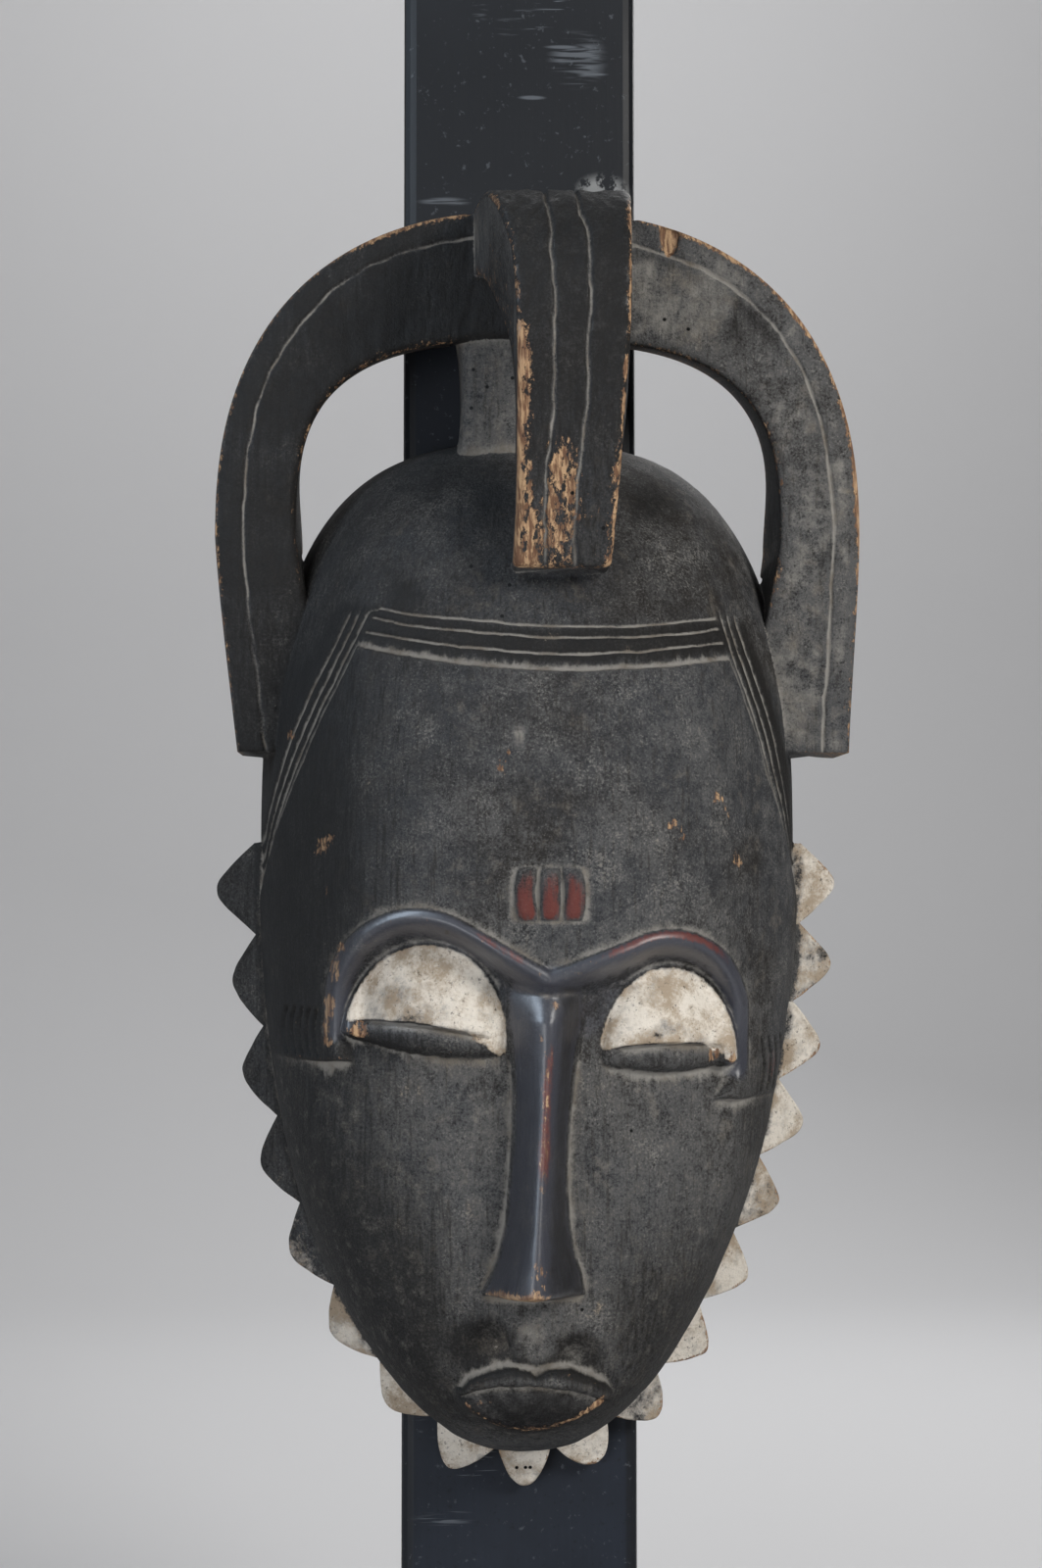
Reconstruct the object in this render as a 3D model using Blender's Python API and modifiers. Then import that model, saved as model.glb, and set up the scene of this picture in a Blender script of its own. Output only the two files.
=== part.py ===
"""A carved wood face mask with an arched, looped crest, on a painted display post with a foot plate.

Metres, +Z up. The mask looks along -Y and its flat back faces the post.
The carving is laid out in carving units: x to the left (-) and right (+) of someone who faces the mask,
z up from the middle of the forehead, and h forward from the flat back of the mask.
One carving unit is a millimetre at the mask's real height.
"""
import math

import bmesh
import bpy
import numpy as np

# Driving dimensions of the mask, in metres
MASK_HEIGHT = 0.404
MASK_WALL = 0.016
MASK_CLEARANCE = 0.0003

# Driving dimensions of the display post and its foot plate, in metres
POST_WIDTH = 0.076
POST_DEPTH = 0.044
POST_ABOVE_MASK = 0.108
POST_BELOW_MASK = 0.108
POST_CORNER = 0.004
POST_SETBACK = 0.034
MASK_SIDE_SHIFT = 0.0044
BASE_WIDTH = 0.24
BASE_DEPTH = 0.24
BASE_THICKNESS = 0.012
BASE_CORNER = 0.002

# Carving units: the mask's height in them runs from below its lowest tooth to the top of its crest
CREST_TOP_Z = 177.5
LOWEST_TOOTH_Z = -226.5
UNIT = MASK_HEIGHT / (CREST_TOP_Z - LOWEST_TOOTH_Z)

# Head
CROWN_Z = 111.0
CHIN_Z = -210.0
WIDEST_Z = -25.0
HEAD_HALF_WIDTH = 86.0
CROWN_ROUNDNESS = 2.85
JAW_FULLNESS = 2.1
JAW_POINT = 1.8
DEEPEST_Z = -30.0
FOREHEAD_DEPTH = 100.0
FOREHEAD_ROUNDNESS = 2.4
FOREHEAD_FALL = (3.0, 2.2)
FACE_DEPTH = 87.0
CHIN_SQUARENESS = 11.0
CROWN_SECTION = 2.35
CHEEK_SECTION = 3.0
SECTION_CHANGE = (60.0, 130.0)
AXIS_DRIFT = (40.0, 170.0)
AXIS_TOP_X = -2.0
AXIS_CHIN_X = -4.6

# Brows: an arc over each eye, and the point between them where they meet
LEFT_BROW_CENTER = (-37.5, -67.0)
LEFT_BROW_RADIUS = 27.3
RIGHT_BROW_CENTER = (36.0, -71.5)
RIGHT_BROW_RADIUS = 25.6
BROW_MEETING = (0.8, -57.5)
LEFT_TEMPLE_Z = -84.4
RIGHT_TEMPLE_Z = -95.8
BROW_BEAD = 1.8
BROW_BEAD_HALF_WIDTH = 4.5
BROW_BEAD_SETBACK = 3.5
BROW_FADE = (1.0, 7.0)
BROW_SLOPE = (-9.0, -3.5)
TEMPLE_SLOPE = (-2.0, 0.0)
TEMPLE_SHALLOWING = 0.7
TEMPLE_RANGE = (50.0, 72.0)

# Eyes: centre of the lower edge, half width, height of the lid, tilt of the slit in degrees
LEFT_EYE = (-35.0, -78.5, 24.5, 29.0, -7.0)
RIGHT_EYE = (36.5, -84.0, 21.5, 28.0, 0.0)
LID_BULGE = 11.0
LID_ROUNDNESS = (2.6, 1.9)
LOWER_LID_HEIGHT = 5.0
SOCKET_DEPTH = 4.0
SOCKET_SPREAD = (1.12, 1.08)
SOCKET_BELOW = 13.0
SOCKET_EDGE = (0.85, 1.12)
SLIT_RISE = 4.5
SLIT_DEPTH = 2.6
SLIT_HALF_WIDTH = 2.2
SLIT_ENDS = (0.45, 0.72)

# Nose
NOSE_TOP_Z = -57.0
NOSE_BASE_Z = -151.5
NOSE_TOP_HEIGHT = 13.0
NOSE_TIP_HEIGHT = 23.0
NOSE_TOP_X = 0.6
NOSE_TIP_X = -4.0
BRIDGE_HALF_WIDTH = 5.0
NOSE_HALF_WIDTH = 8.2
WING_HALF_WIDTH = 16.2
NOSE_SPREAD = (0.45, 0.85)
WING_SPREAD = (0.78, 1.0)
NOSE_SWELL = (0.25, 0.97)
NOSE_ROUNDNESS = 0.55
NOSE_UNDERCUT = 1.5
NOSE_START = 8.0
NOSE_FILLET = 3.0
NOSE_FILLET_LENGTH = 40.0

# Mouth
MOUTH_CENTER = (-3.0, -182.0)
MOUTH_HALF_WIDTH = 20.5
MOUTH_MOUND = 5.5
MOUTH_MOUND_WIDTH = 1.5
MOUTH_MOUND_HEIGHT = 17.0
UPPER_LIP_RISE = 6.6
UPPER_LIP_HALF_WIDTH = 3.6
UPPER_LIP_DIP = 1.3
UPPER_LIP_DIP_HALF_WIDTH = 3.0
LOWER_LIP_DROP = 10.6
LOWER_LIP_HALF_WIDTH = 3.2
LOWER_LIP_SHARE = 0.8
LIP_HEIGHT = 5.5
LIP_ENDS = (0.9, 1.12)
PANEL_HEIGHT = 1.6
PANEL_TOP = (-158.0, -154.0)
PANEL_BOTTOM = (-171.5, -169.0)
PANEL_HALF_WIDTHS = (4.5, 10.5)
PANEL_EDGE = 2.0
DIMPLE_DEPTH = 1.8
DIMPLE_OFFSET = 11.0
DIMPLE_Z = -168.0
DIMPLE_RADIUS = 5.0
DIMPLE_STRETCH = 1.3
FACE_CARVING_EDGE = 0.35

# Forehead scars: three raised bars
SCAR_CENTERS = (-6.4, 1.1, 8.2)
SCAR_HALF_WIDTH = 2.9
SCAR_TOP_Z = -27.9
SCAR_BOTTOM_Z = -44.3
SCAR_HEIGHT = 2.2
SCAR_ROUNDING = 2.5
SCAR_FIELD = (10.5, 13.0)
SCAR_FIELD_DEPTH = 0.8

# Hair band: a step that frames the forehead, with a shallow incised band outside it
HAIR_MIDDLE_Z = 29.0
HAIR_SAG = 6.6
HAIR_TILT = -0.03
HAIR_CORNER_X = 55.0
HAIR_STEP = 1.6
HAIR_BAND = (3.0, 6.0, 12.0, 15.0)
HAIR_BAND_DEPTH = 1.1
HAIR_GATHER = (-20.0, 32.0)
HAIR_FADE = (-40.0, -24.0)
HAIR_RIM_EDGE = 0.2
LEFT_HAIR_SIDE = ((-87.0, -34.0), (-83.0, -21.0), (-77.0, -6.0), (-69.5, 10.0), (-62.0, 24.6))
RIGHT_HAIR_SIDE = ((62.6, 19.6), (69.5, 0.0), (75.0, -14.0), (81.0, -31.0), (84.0, -44.0))

# Side arches of the crest: how far they stand out from the head, how wide they are, and how far they run into it
ARCH_SPRING_Z = 75.0
ARCH_STAND_OUT = 14.0
ARCH_WIDTH = 25.0
ARCH_OVERLAP = 18.0
ARCH_HALF_WIDTH = HEAD_HALF_WIDTH + ARCH_STAND_OUT
HOLE_HALF_WIDTH = ARCH_HALF_WIDTH - ARCH_WIDTH
ARCH_INSET_IN_HEAD = HEAD_HALF_WIDTH - ARCH_OVERLAP
ARCH_RISE = 102.0
ARCH_FULLNESS = 2.4
ARCH_FOOT_Z = 8.5
LEFT_ARCH_TAPER = 6.5
RIGHT_ARCH_TAPER = 2.2
ARCH_TAPER_POWER = 1.2
ARCH_DEPTH = 45.0
ARCH_FOOT_DEPTH = 36.0
ARCH_BACK = 1.5
HOLE_RISE = 61.0
HOLE_FULLNESS = 3.0
HOLE_BACK_RISE = 8.0
ARCH_EDGE = 4.0
ARCH_LINE_INSET = 9.5
ARCH_LINE_DEPTH = 1.4
ARCH_LINE_HALF_WIDTH = 1.2

# Neck between the crown and the arches
NECK_HALF_WIDTH = 24.0
NECK_FLARE = 3.0
NECK_BOTTOM_Z = 92.0
NECK_TOP_Z = 150.0
NECK_DEPTH = 43.5
NECK_CORNER = 3.0

# Tongue of the crest: points of its outer and inner side in h and z, and its edges in x
TONGUE_OUTER = (
    (18.0, CREST_TOP_Z), (45.0, CREST_TOP_Z), (74.0, 174.5), (94.0, 166.0), (105.0, 151.0),
    (FOREHEAD_DEPTH + 8.0, 130.0), (FOREHEAD_DEPTH + 6.0, 104.0),
    (FOREHEAD_DEPTH + 2.0, 79.0), (FOREHEAD_DEPTH - 3.0, 58.5),
)
TONGUE_INNER = (
    (18.0, 142.0), (45.0, 155.0), (62.0, 151.0), (79.0, 141.0), (90.0, 126.0),
    (FOREHEAD_DEPTH - 6.0, 110.0), (FOREHEAD_DEPTH - 8.0, 93.0),
    (FOREHEAD_DEPTH - 12.0, 75.0), (FOREHEAD_DEPTH - 20.0, 58.5),
)
TONGUE_LEFT = (-22.0, -20.0, -17.5, -14.5, -10.5, -9.0, -8.8, -8.9, -9.8)
TONGUE_RIGHT = (30.0, 28.5, 26.5, 25.0, 24.3, 23.8, 22.2, 20.6, 18.8)
TONGUE_CORNER = 2.0
TONGUE_GROOVES = (0.30, 0.62)
TONGUE_GROOVE_DEPTH = 1.4
TONGUE_GROOVE_HALF_WIDTH = 1.8

# Toothed collar round the jaw: distances between the tips of its teeth, from the left ear to the right
COLLAR_START_Z = -19.4
COLLAR_ROOT = 1.5
COLLAR_INSET = 7.0
LEFT_EAR_TOOTH = 12.5
LEFT_CHEEK_TOOTH = 8.8
CHIN_TOOTH = 13.0
RIGHT_TOOTH = 11.8
TOOTH_HEIGHTS = (LEFT_EAR_TOOTH,) + 6 * (LEFT_CHEEK_TOOTH,) + 4 * (CHIN_TOOTH,) + 7 * (RIGHT_TOOTH,)
LEFT_PITCH = 30.0
JAW_PITCH = 28.0
CHIN_PITCH = 23.6
RIGHT_PITCH = 26.3
TOOTH_PITCHES = 6 * (LEFT_PITCH,) + (JAW_PITCH,) + 3 * (CHIN_PITCH,) + 7 * (RIGHT_PITCH,)
TOOTH_BLUNTNESS = 0.16
COLLAR_BACK = 0.6
COLLAR_ROOT_DEPTH = 13.0
COLLAR_TIP_DEPTH = 7.0
COLLAR_EDGE = 1.5

# Hollow behind the face
HOLLOW_SECTION = 0.85
HOLLOW_TOP_ROUNDNESS = 2.4
HOLLOW_CHIN = (5.0, 2.0)
CHIN_WALL_SHARE = 1.15
HOLLOW_OVERCUT = 6.0

# Fineness of the carving, and the share of its facets that is kept
HEAD_COLUMNS = 180
HEAD_ROWS = 240
ROW_CROWDING = 0.3
HOLLOW_COLUMNS = 36
HOLLOW_ROWS = 40
CURVE_STEPS = 8
TONGUE_STEPS = 5
NECK_STATIONS = 9
ARCH_STATIONS = 72
ARCH_FOOT_STATIONS = 8
COLLAR_STEPS = 8
RIM_STEPS = 160
EDGE_SEGMENTS = 3
KEPT_FACETS = 0.093

# Places worked out from the dimensions
POST_BACK_Y = BASE_DEPTH / 2 - POST_SETBACK
POST_FRONT_Y = POST_BACK_Y - POST_DEPTH
MASK_BACK_Y = POST_FRONT_Y - MASK_CLEARANCE
MASK_BOTTOM_Z = BASE_THICKNESS + MASK_CLEARANCE + POST_BELOW_MASK
MASK_ZERO_Z = MASK_BOTTOM_Z - LOWEST_TOOTH_Z * UNIT
POST_HEIGHT = POST_BELOW_MASK + MASK_HEIGHT + POST_ABOVE_MASK


def soft_step(value, low, high):
    """Rises smoothly from 0 at low to 1 at high."""
    t = np.clip((value - low) / (high - low), 0.0, 1.0)
    return t * t * (3.0 - 2.0 * t)


def bell(distance, half_width):
    """A rounded ridge of height 1: a cosine bell that ends half_width to either side."""
    t = np.clip(np.abs(distance) / half_width, 0.0, 1.0)
    return 0.5 + 0.5 * np.cos(np.pi * t)


def rounded(t, power, root):
    """Superellipse quarter: 1 at t = 0 and 0 at t = 1."""
    return np.clip(1.0 - np.clip(t, 0.0, 1.0) ** power, 0.0, 1.0) ** (1.0 / root)


def blended_top(first, second, blend):
    """The higher of two reliefs, with a fillet of about the size given where they cross."""
    reach = np.maximum(blend, 1e-6)
    t = np.clip(0.5 + 0.5 * (first - second) / reach, 0.0, 1.0)
    return second + (first - second) * t + reach * t * (1.0 - t)


def smooth_line(points, steps=CURVE_STEPS):
    """Points of a Catmull-Rom curve through the given ones, with the end points kept."""
    p = np.array(points, dtype=float)
    p = np.vstack([2 * p[0] - p[1], p, 2 * p[-1] - p[-2]])
    t = np.linspace(0.0, 1.0, steps, endpoint=False)[:, None]
    pieces = []
    for a, b, c, d in zip(p[:-3], p[1:-2], p[2:-1], p[3:]):
        square = 2 * a - 5 * b + 4 * c - d
        cube = 3 * b - a - 3 * c + d
        pieces.append(b + 0.5 * ((c - a) * t + square * t**2 + cube * t**3))
    return np.vstack(pieces + [p[-2:-1]])


def arc_line(center, radius, start, end, steps=16):
    """Points of a circular arc in the face plane, from one angle in degrees to the other."""
    angle = np.radians(np.linspace(start, end, steps))
    return np.column_stack([center[0] + radius * np.cos(angle), center[1] + radius * np.sin(angle)])


def line_distance(x, z, line):
    """Distance of each point to a line of points: positive on the line's left, negative on its right."""
    nearest = np.full(x.shape, np.inf)
    side = np.ones(x.shape)
    for (ax, az), (bx, bz) in zip(line[:-1], line[1:]):
        run_x, run_z = bx - ax, bz - az
        length = run_x**2 + run_z**2
        t = np.clip(((x - ax) * run_x + (z - az) * run_z) / length, 0.0, 1.0)
        gap = np.hypot(x - ax - t * run_x, z - az - t * run_z)
        closer = gap < nearest
        nearest = np.where(closer, gap, nearest)
        side = np.where(closer, np.sign(run_x * (z - az) - run_z * (x - ax) + 1e-12), side)
    return nearest * side


def head_axis(z):
    """The x of the head's middle line, which drifts to one side towards the chin."""
    return AXIS_TOP_X + (AXIS_CHIN_X - AXIS_TOP_X) * soft_step(-z, *AXIS_DRIFT)


def head_half_width(z):
    """Half the head's width at height z: rounded above its widest place, longer and narrower below."""
    above = rounded((z - WIDEST_Z) / (CROWN_Z - WIDEST_Z), CROWN_ROUNDNESS, CROWN_ROUNDNESS)
    below = rounded((WIDEST_Z - z) / (WIDEST_Z - CHIN_Z), JAW_FULLNESS, JAW_POINT)
    return HEAD_HALF_WIDTH * np.where(z > WIDEST_Z, above, below)


def section_power(z):
    """Exponent of the head's cross-section: rounder at the crown, squarer at the cheeks."""
    return CROWN_SECTION + (CHEEK_SECTION - CROWN_SECTION) * soft_step(-z, *SECTION_CHANGE)


def forehead_depth(z):
    """Depth of the head's middle line at the level of the forehead and temples."""
    above = rounded((z - DEEPEST_Z) / (CROWN_Z - DEEPEST_Z), FOREHEAD_ROUNDNESS, FOREHEAD_ROUNDNESS)
    below = rounded((DEEPEST_Z - z) / (DEEPEST_Z - CHIN_Z), *FOREHEAD_FALL)
    return FOREHEAD_DEPTH * np.where(z > DEEPEST_Z, above, below)


def face_depth(z):
    """Depth of the head's middle line at the level of the face below the brows."""
    above = rounded((z - WIDEST_Z) / (CROWN_Z - WIDEST_Z), FOREHEAD_ROUNDNESS, FOREHEAD_ROUNDNESS)
    below = rounded((WIDEST_Z - z) / (WIDEST_Z - CHIN_Z), CHIN_SQUARENESS, 2.0)
    return FACE_DEPTH * np.where(z > WIDEST_Z, above, below)


def brow_line():
    """The upper edge of the brows, from the outer end of one over the point between them to the other."""
    left = arc_line(LEFT_BROW_CENTER, LEFT_BROW_RADIUS, 180.0, 62.0)
    right = arc_line(RIGHT_BROW_CENTER, RIGHT_BROW_RADIUS, 118.0, 0.0)
    left_end = (left[0][0], LEFT_TEMPLE_Z)
    right_end = (right[-1][0], RIGHT_TEMPLE_Z)
    return np.vstack([[left_end], left, [BROW_MEETING], right, [right_end]])


def forehead_line():
    """The brow line, run on to both sides of the head by the steps under the temples."""
    brow = brow_line()
    reach = 2.0 * HEAD_HALF_WIDTH
    return np.vstack([[(-reach, LEFT_TEMPLE_Z)], brow, [(reach, RIGHT_TEMPLE_Z)]])


def hair_line():
    """The step that frames the forehead: up the left side, across the top and down the right side."""
    x = np.linspace(-HAIR_CORNER_X, HAIR_CORNER_X, 13)
    across = np.column_stack([x, HAIR_MIDDLE_Z + HAIR_SAG * (x / HAIR_CORNER_X) ** 2 + HAIR_TILT * x])
    left = smooth_line(LEFT_HAIR_SIDE + (tuple(across[0]),))
    right = smooth_line((tuple(across[-1]),) + RIGHT_HAIR_SIDE)
    return np.vstack([left[:-1], across, right[1:]])


def eye_relief(x, z, eye):
    """A bulging half-moon lid over a socket, with a slit and a lower lid."""
    center_x, center_z, half_width, height, tilt = eye
    turn = math.radians(tilt)
    u = (x - center_x) * math.cos(turn) + (z - center_z) * math.sin(turn)
    v = (z - center_z) * math.cos(turn) - (x - center_x) * math.sin(turn)
    socket_height = np.where(v > 0.0, height * SOCKET_SPREAD[1], SOCKET_BELOW)
    reach = np.hypot(u / (half_width * SOCKET_SPREAD[0]), v / socket_height)
    socket = -SOCKET_DEPTH * (1.0 - soft_step(reach, *SOCKET_EDGE))
    lid_height = np.where(v > 0.0, height, LOWER_LID_HEIGHT)
    lid = LID_BULGE * rounded(np.hypot(u / half_width, v / lid_height), *LID_ROUNDNESS)
    slit_ends = 1.0 - soft_step(np.abs(u) / half_width, *SLIT_ENDS)
    slit = -SLIT_DEPTH * slit_ends * bell(v - SLIT_RISE, SLIT_HALF_WIDTH)
    return socket + lid + slit


def nose_relief(x, z):
    """A narrow ridge that deepens and spreads towards flat-based wings."""
    along = np.clip((NOSE_TOP_Z - z) / (NOSE_TOP_Z - NOSE_BASE_Z), 0.0, 1.0)
    center = NOSE_TOP_X + (NOSE_TIP_X - NOSE_TOP_X) * along
    half_width = BRIDGE_HALF_WIDTH + (NOSE_HALF_WIDTH - BRIDGE_HALF_WIDTH) * soft_step(along, *NOSE_SPREAD)
    half_width = half_width + (WING_HALF_WIDTH - NOSE_HALF_WIDTH) * soft_step(along, *WING_SPREAD)
    height = NOSE_TOP_HEIGHT + (NOSE_TIP_HEIGHT - NOSE_TOP_HEIGHT) * soft_step(along, *NOSE_SWELL)
    t = np.clip(np.abs(x - center) / half_width, 0.0, 1.0)
    section = NOSE_ROUNDNESS * np.sqrt(1.0 - t**2) + (1.0 - NOSE_ROUNDNESS) * (1.0 - t)
    base = soft_step(z, NOSE_BASE_Z - NOSE_UNDERCUT, NOSE_BASE_Z + NOSE_UNDERCUT)
    top = 1.0 - soft_step(z, NOSE_TOP_Z - NOSE_START, NOSE_TOP_Z)
    return height * section * base * top


def mouth_relief(x, z):
    """A low mound with two lips round a lens-shaped hollow, and the groove between nose and mouth."""
    center_x, center_z = MOUTH_CENTER
    u = (x - center_x) / MOUTH_HALF_WIDTH
    away = np.abs(x - center_x)
    mound = MOUTH_MOUND * bell(np.hypot(u / MOUTH_MOUND_WIDTH, (z - center_z) / MOUTH_MOUND_HEIGHT), 1.0)
    spread = np.clip(1.0 - u**2, 0.0, 1.0) ** 0.75
    dip = UPPER_LIP_DIP * bell(away, UPPER_LIP_DIP_HALF_WIDTH)
    upper = bell(z - center_z - UPPER_LIP_RISE * spread + dip, UPPER_LIP_HALF_WIDTH)
    lower = bell(z - center_z + LOWER_LIP_DROP * spread, LOWER_LIP_HALF_WIDTH)
    ends = 1.0 - soft_step(np.abs(u), *LIP_ENDS)
    lips = LIP_HEIGHT * ends * np.maximum(upper, LOWER_LIP_SHARE * lower)
    bottom_half, top_half = PANEL_HALF_WIDTHS
    half = bottom_half + (top_half - bottom_half) * soft_step(z, PANEL_BOTTOM[0], PANEL_TOP[1])
    panel_ends = soft_step(z, *PANEL_BOTTOM) * (1.0 - soft_step(z, *PANEL_TOP))
    panel = PANEL_HEIGHT * panel_ends * (1.0 - soft_step(away, half, half + PANEL_EDGE))
    dimples = bell(np.hypot(away - DIMPLE_OFFSET, (z - DIMPLE_Z) / DIMPLE_STRETCH), DIMPLE_RADIUS)
    return mound + lips + panel - DIMPLE_DEPTH * dimples


def scar_relief(x, z):
    """Three raised rounded bars in a shallow sunk field."""
    middle = (SCAR_TOP_Z + SCAR_BOTTOM_Z) / 2
    half_height = (SCAR_TOP_Z - SCAR_BOTTOM_Z) / 2
    relief = np.zeros(x.shape)
    for center in SCAR_CENTERS:
        across = rounded(np.abs(x - center) / SCAR_HALF_WIDTH, 2.0, 2.0)
        along = 1.0 - soft_step(np.abs(z - middle), half_height - SCAR_ROUNDING, half_height)
        relief = np.maximum(relief, SCAR_HEIGHT * across * along)
    field_x = 1.0 - soft_step(np.abs(x - SCAR_CENTERS[1]), *SCAR_FIELD)
    field_z = 1.0 - soft_step(np.abs(z - middle), half_height, half_height + SCAR_ROUNDING)
    return relief - SCAR_FIELD_DEPTH * field_x * field_z


def hair_relief(x, z):
    """The step round the forehead and the incised band outside it, which narrows down the sides."""
    outside = line_distance(x, z, hair_line())
    gather = 0.5 + 0.5 * soft_step(z, *HAIR_GATHER)
    first, second, third, last = (edge * gather for edge in HAIR_BAND)
    band = soft_step(outside, first, second) * (1.0 - soft_step(outside, third, last))
    above_ears = soft_step(z, *HAIR_FADE)
    return -above_ears * (HAIR_STEP * soft_step(outside, -1.0, 1.0) + HAIR_BAND_DEPTH * band)


def head_surface(columns, rows):
    """Grid of points of the carved head, row by row from chin to crown and from left rim to right rim.

    Each row is a superellipse arch over the flat back. Its depth passes from the level of the forehead
    to that of the face across the brow line, and the carving is added straight forward.
    """
    share = np.linspace(0.0, 1.0, rows)[1:-1, None]
    share = share - ROW_CROWDING * np.sin(2.0 * math.pi * share) / (2.0 * math.pi)
    z = CHIN_Z + (CROWN_Z - CHIN_Z) * share
    across = np.linspace(0.0, math.pi, columns)[None, :]
    power = section_power(z)
    x = head_axis(z) - head_half_width(z) * np.sign(np.cos(across)) * np.abs(np.cos(across)) ** (2.0 / power)
    z = z + 0.0 * x
    section = np.clip(np.sin(across), 0.0, 1.0) ** (2.0 / power)
    above = line_distance(x, z, forehead_line())
    away = np.abs(x - head_axis(z))
    over_temple = z - np.where(x < 0.0, LEFT_TEMPLE_Z, RIGHT_TEMPLE_Z)
    step = (forehead_depth(z) - face_depth(z)) * (1.0 - TEMPLE_SHALLOWING * soft_step(away, *TEMPLE_RANGE))
    step = step * soft_step(above, *BROW_SLOPE) * soft_step(over_temple, *TEMPLE_SLOPE)
    bead = BROW_BEAD * bell(line_distance(x, z, brow_line()) + BROW_BEAD_SETBACK, BROW_BEAD_HALF_WIDTH)
    relief = step * section + bead * soft_step(over_temple, *BROW_FADE)
    relief = relief + eye_relief(x, z, LEFT_EYE) + eye_relief(x, z, RIGHT_EYE)
    fillet = NOSE_FILLET * bell(z - NOSE_TOP_Z, NOSE_FILLET_LENGTH)
    relief = blended_top(relief, nose_relief(x, z), fillet)
    carving = mouth_relief(x, z) + scar_relief(x, z)
    relief = relief + carving * soft_step(section, 0.0, FACE_CARVING_EDGE)
    hair = hair_relief(x, z) * soft_step(section, 0.0, HAIR_RIM_EDGE)
    h = face_depth(z) * section + relief + hair
    h[:, [0, -1]] = 0.0
    return x, h, z


def hollow_ends():
    """Heights of the hollow's lowest and highest point."""
    wall = MASK_WALL / UNIT
    return CHIN_Z + wall * CHIN_WALL_SHARE, CROWN_Z - wall


def hollow_surface(columns, rows):
    """Grid of the plain hollow behind the face, a wall's thickness inside the head, and open at the back."""
    wall = MASK_WALL / UNIT
    low, high = hollow_ends()
    rise = np.sin(np.linspace(-math.pi / 2, math.pi / 2, rows))[1:-1, None]
    z = WIDEST_Z + np.where(rise > 0.0, high - WIDEST_Z, WIDEST_Z - low) * rise
    t = np.abs(rise)
    upper = rounded(t, CROWN_ROUNDNESS, CROWN_ROUNDNESS)
    lower = rounded(t, JAW_FULLNESS, JAW_POINT)
    half_width = (HEAD_HALF_WIDTH - wall) * np.where(rise > 0.0, upper, lower)
    domed = rounded(t, HOLLOW_TOP_ROUNDNESS, HOLLOW_TOP_ROUNDNESS)
    depth = (FACE_DEPTH - SOCKET_DEPTH - wall) * np.where(rise > 0.0, domed, rounded(t, *HOLLOW_CHIN))
    across = np.linspace(0.0, math.pi, columns)[None, :]
    x = head_axis(z) - half_width * np.sign(np.cos(across)) * np.abs(np.cos(across)) ** HOLLOW_SECTION
    h = depth * np.clip(np.sin(across), 0.0, 1.0) ** HOLLOW_SECTION
    return x, h, z + 0.0 * x


def to_metres(x, h, z):
    """Places carving units in the part: right of the post's middle, in front of it, and up from the floor."""
    return np.column_stack([
        MASK_SIDE_SHIFT + np.ravel(x) * UNIT,
        MASK_BACK_Y - np.ravel(h) * UNIT,
        MASK_ZERO_Z + np.ravel(z) * UNIT,
    ])


def make_object(name, vertices, faces, collection):
    """A mesh object whose faces all point out of the closed body that they make."""
    mesh = bpy.data.meshes.new(name)
    mesh.from_pydata(vertices.tolist(), [], faces)
    body = bmesh.new()
    body.from_mesh(mesh)
    bmesh.ops.recalc_face_normals(body, faces=body.faces)
    body.to_mesh(mesh)
    body.free()
    result = bpy.data.objects.new(name, mesh)
    collection.objects.link(result)
    return result


def ring_faces(first, after):
    """Quads between two closed rings of vertex numbers."""
    count = len(first)
    return [(first[i], first[(i + 1) % count], after[(i + 1) % count], after[i]) for i in range(count)]


def domed_body(name, x, h, z, bottom, top, overcut, collection):
    """Closes a grid of rows with a point below and above, and with a flat back behind the rim."""
    rows, columns = x.shape
    ends = to_metres([head_axis(bottom), head_axis(top)], [0.0, 0.0], [bottom, top])
    vertices = np.vstack([to_metres(x, h, z), ends])
    low, high = rows * columns, rows * columns + 1
    grid = np.arange(rows * columns).reshape(rows, columns)
    corners = (grid[:-1, :-1], grid[:-1, 1:], grid[1:, 1:], grid[1:, :-1])
    faces = np.stack(corners, axis=-1).reshape(-1, 4).tolist()
    faces += [(low, after, first) for first, after in zip(grid[0, :-1], grid[0, 1:])]
    faces += [(high, first, after) for first, after in zip(grid[-1, :-1], grid[-1, 1:])]
    rim = [low, *grid[:, 0], high, *grid[::-1, -1]]
    if overcut > 0.0:
        start = len(vertices)
        vertices = np.vstack([vertices, vertices[rim] + np.array([0.0, overcut * UNIT, 0.0])])
        behind = list(range(start, len(vertices)))
        faces += ring_faces(rim, behind)
        rim = behind
    faces.append(tuple(rim))
    return make_object(name, vertices, faces, collection)


def loft(name, sections, collection):
    """Skins a row of closed sections, each an equal number of points in x, h and z, and caps both ends."""
    count = len(sections[0])
    vertices = np.vstack([to_metres(s[:, 0], s[:, 1], s[:, 2]) for s in sections])
    rings = np.arange(len(vertices)).reshape(len(sections), count)
    faces = [tuple(rings[0]), tuple(rings[-1])]
    for first, after in zip(rings[:-1], rings[1:]):
        faces += ring_faces(first, after)
    return make_object(name, vertices, faces, collection)


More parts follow.
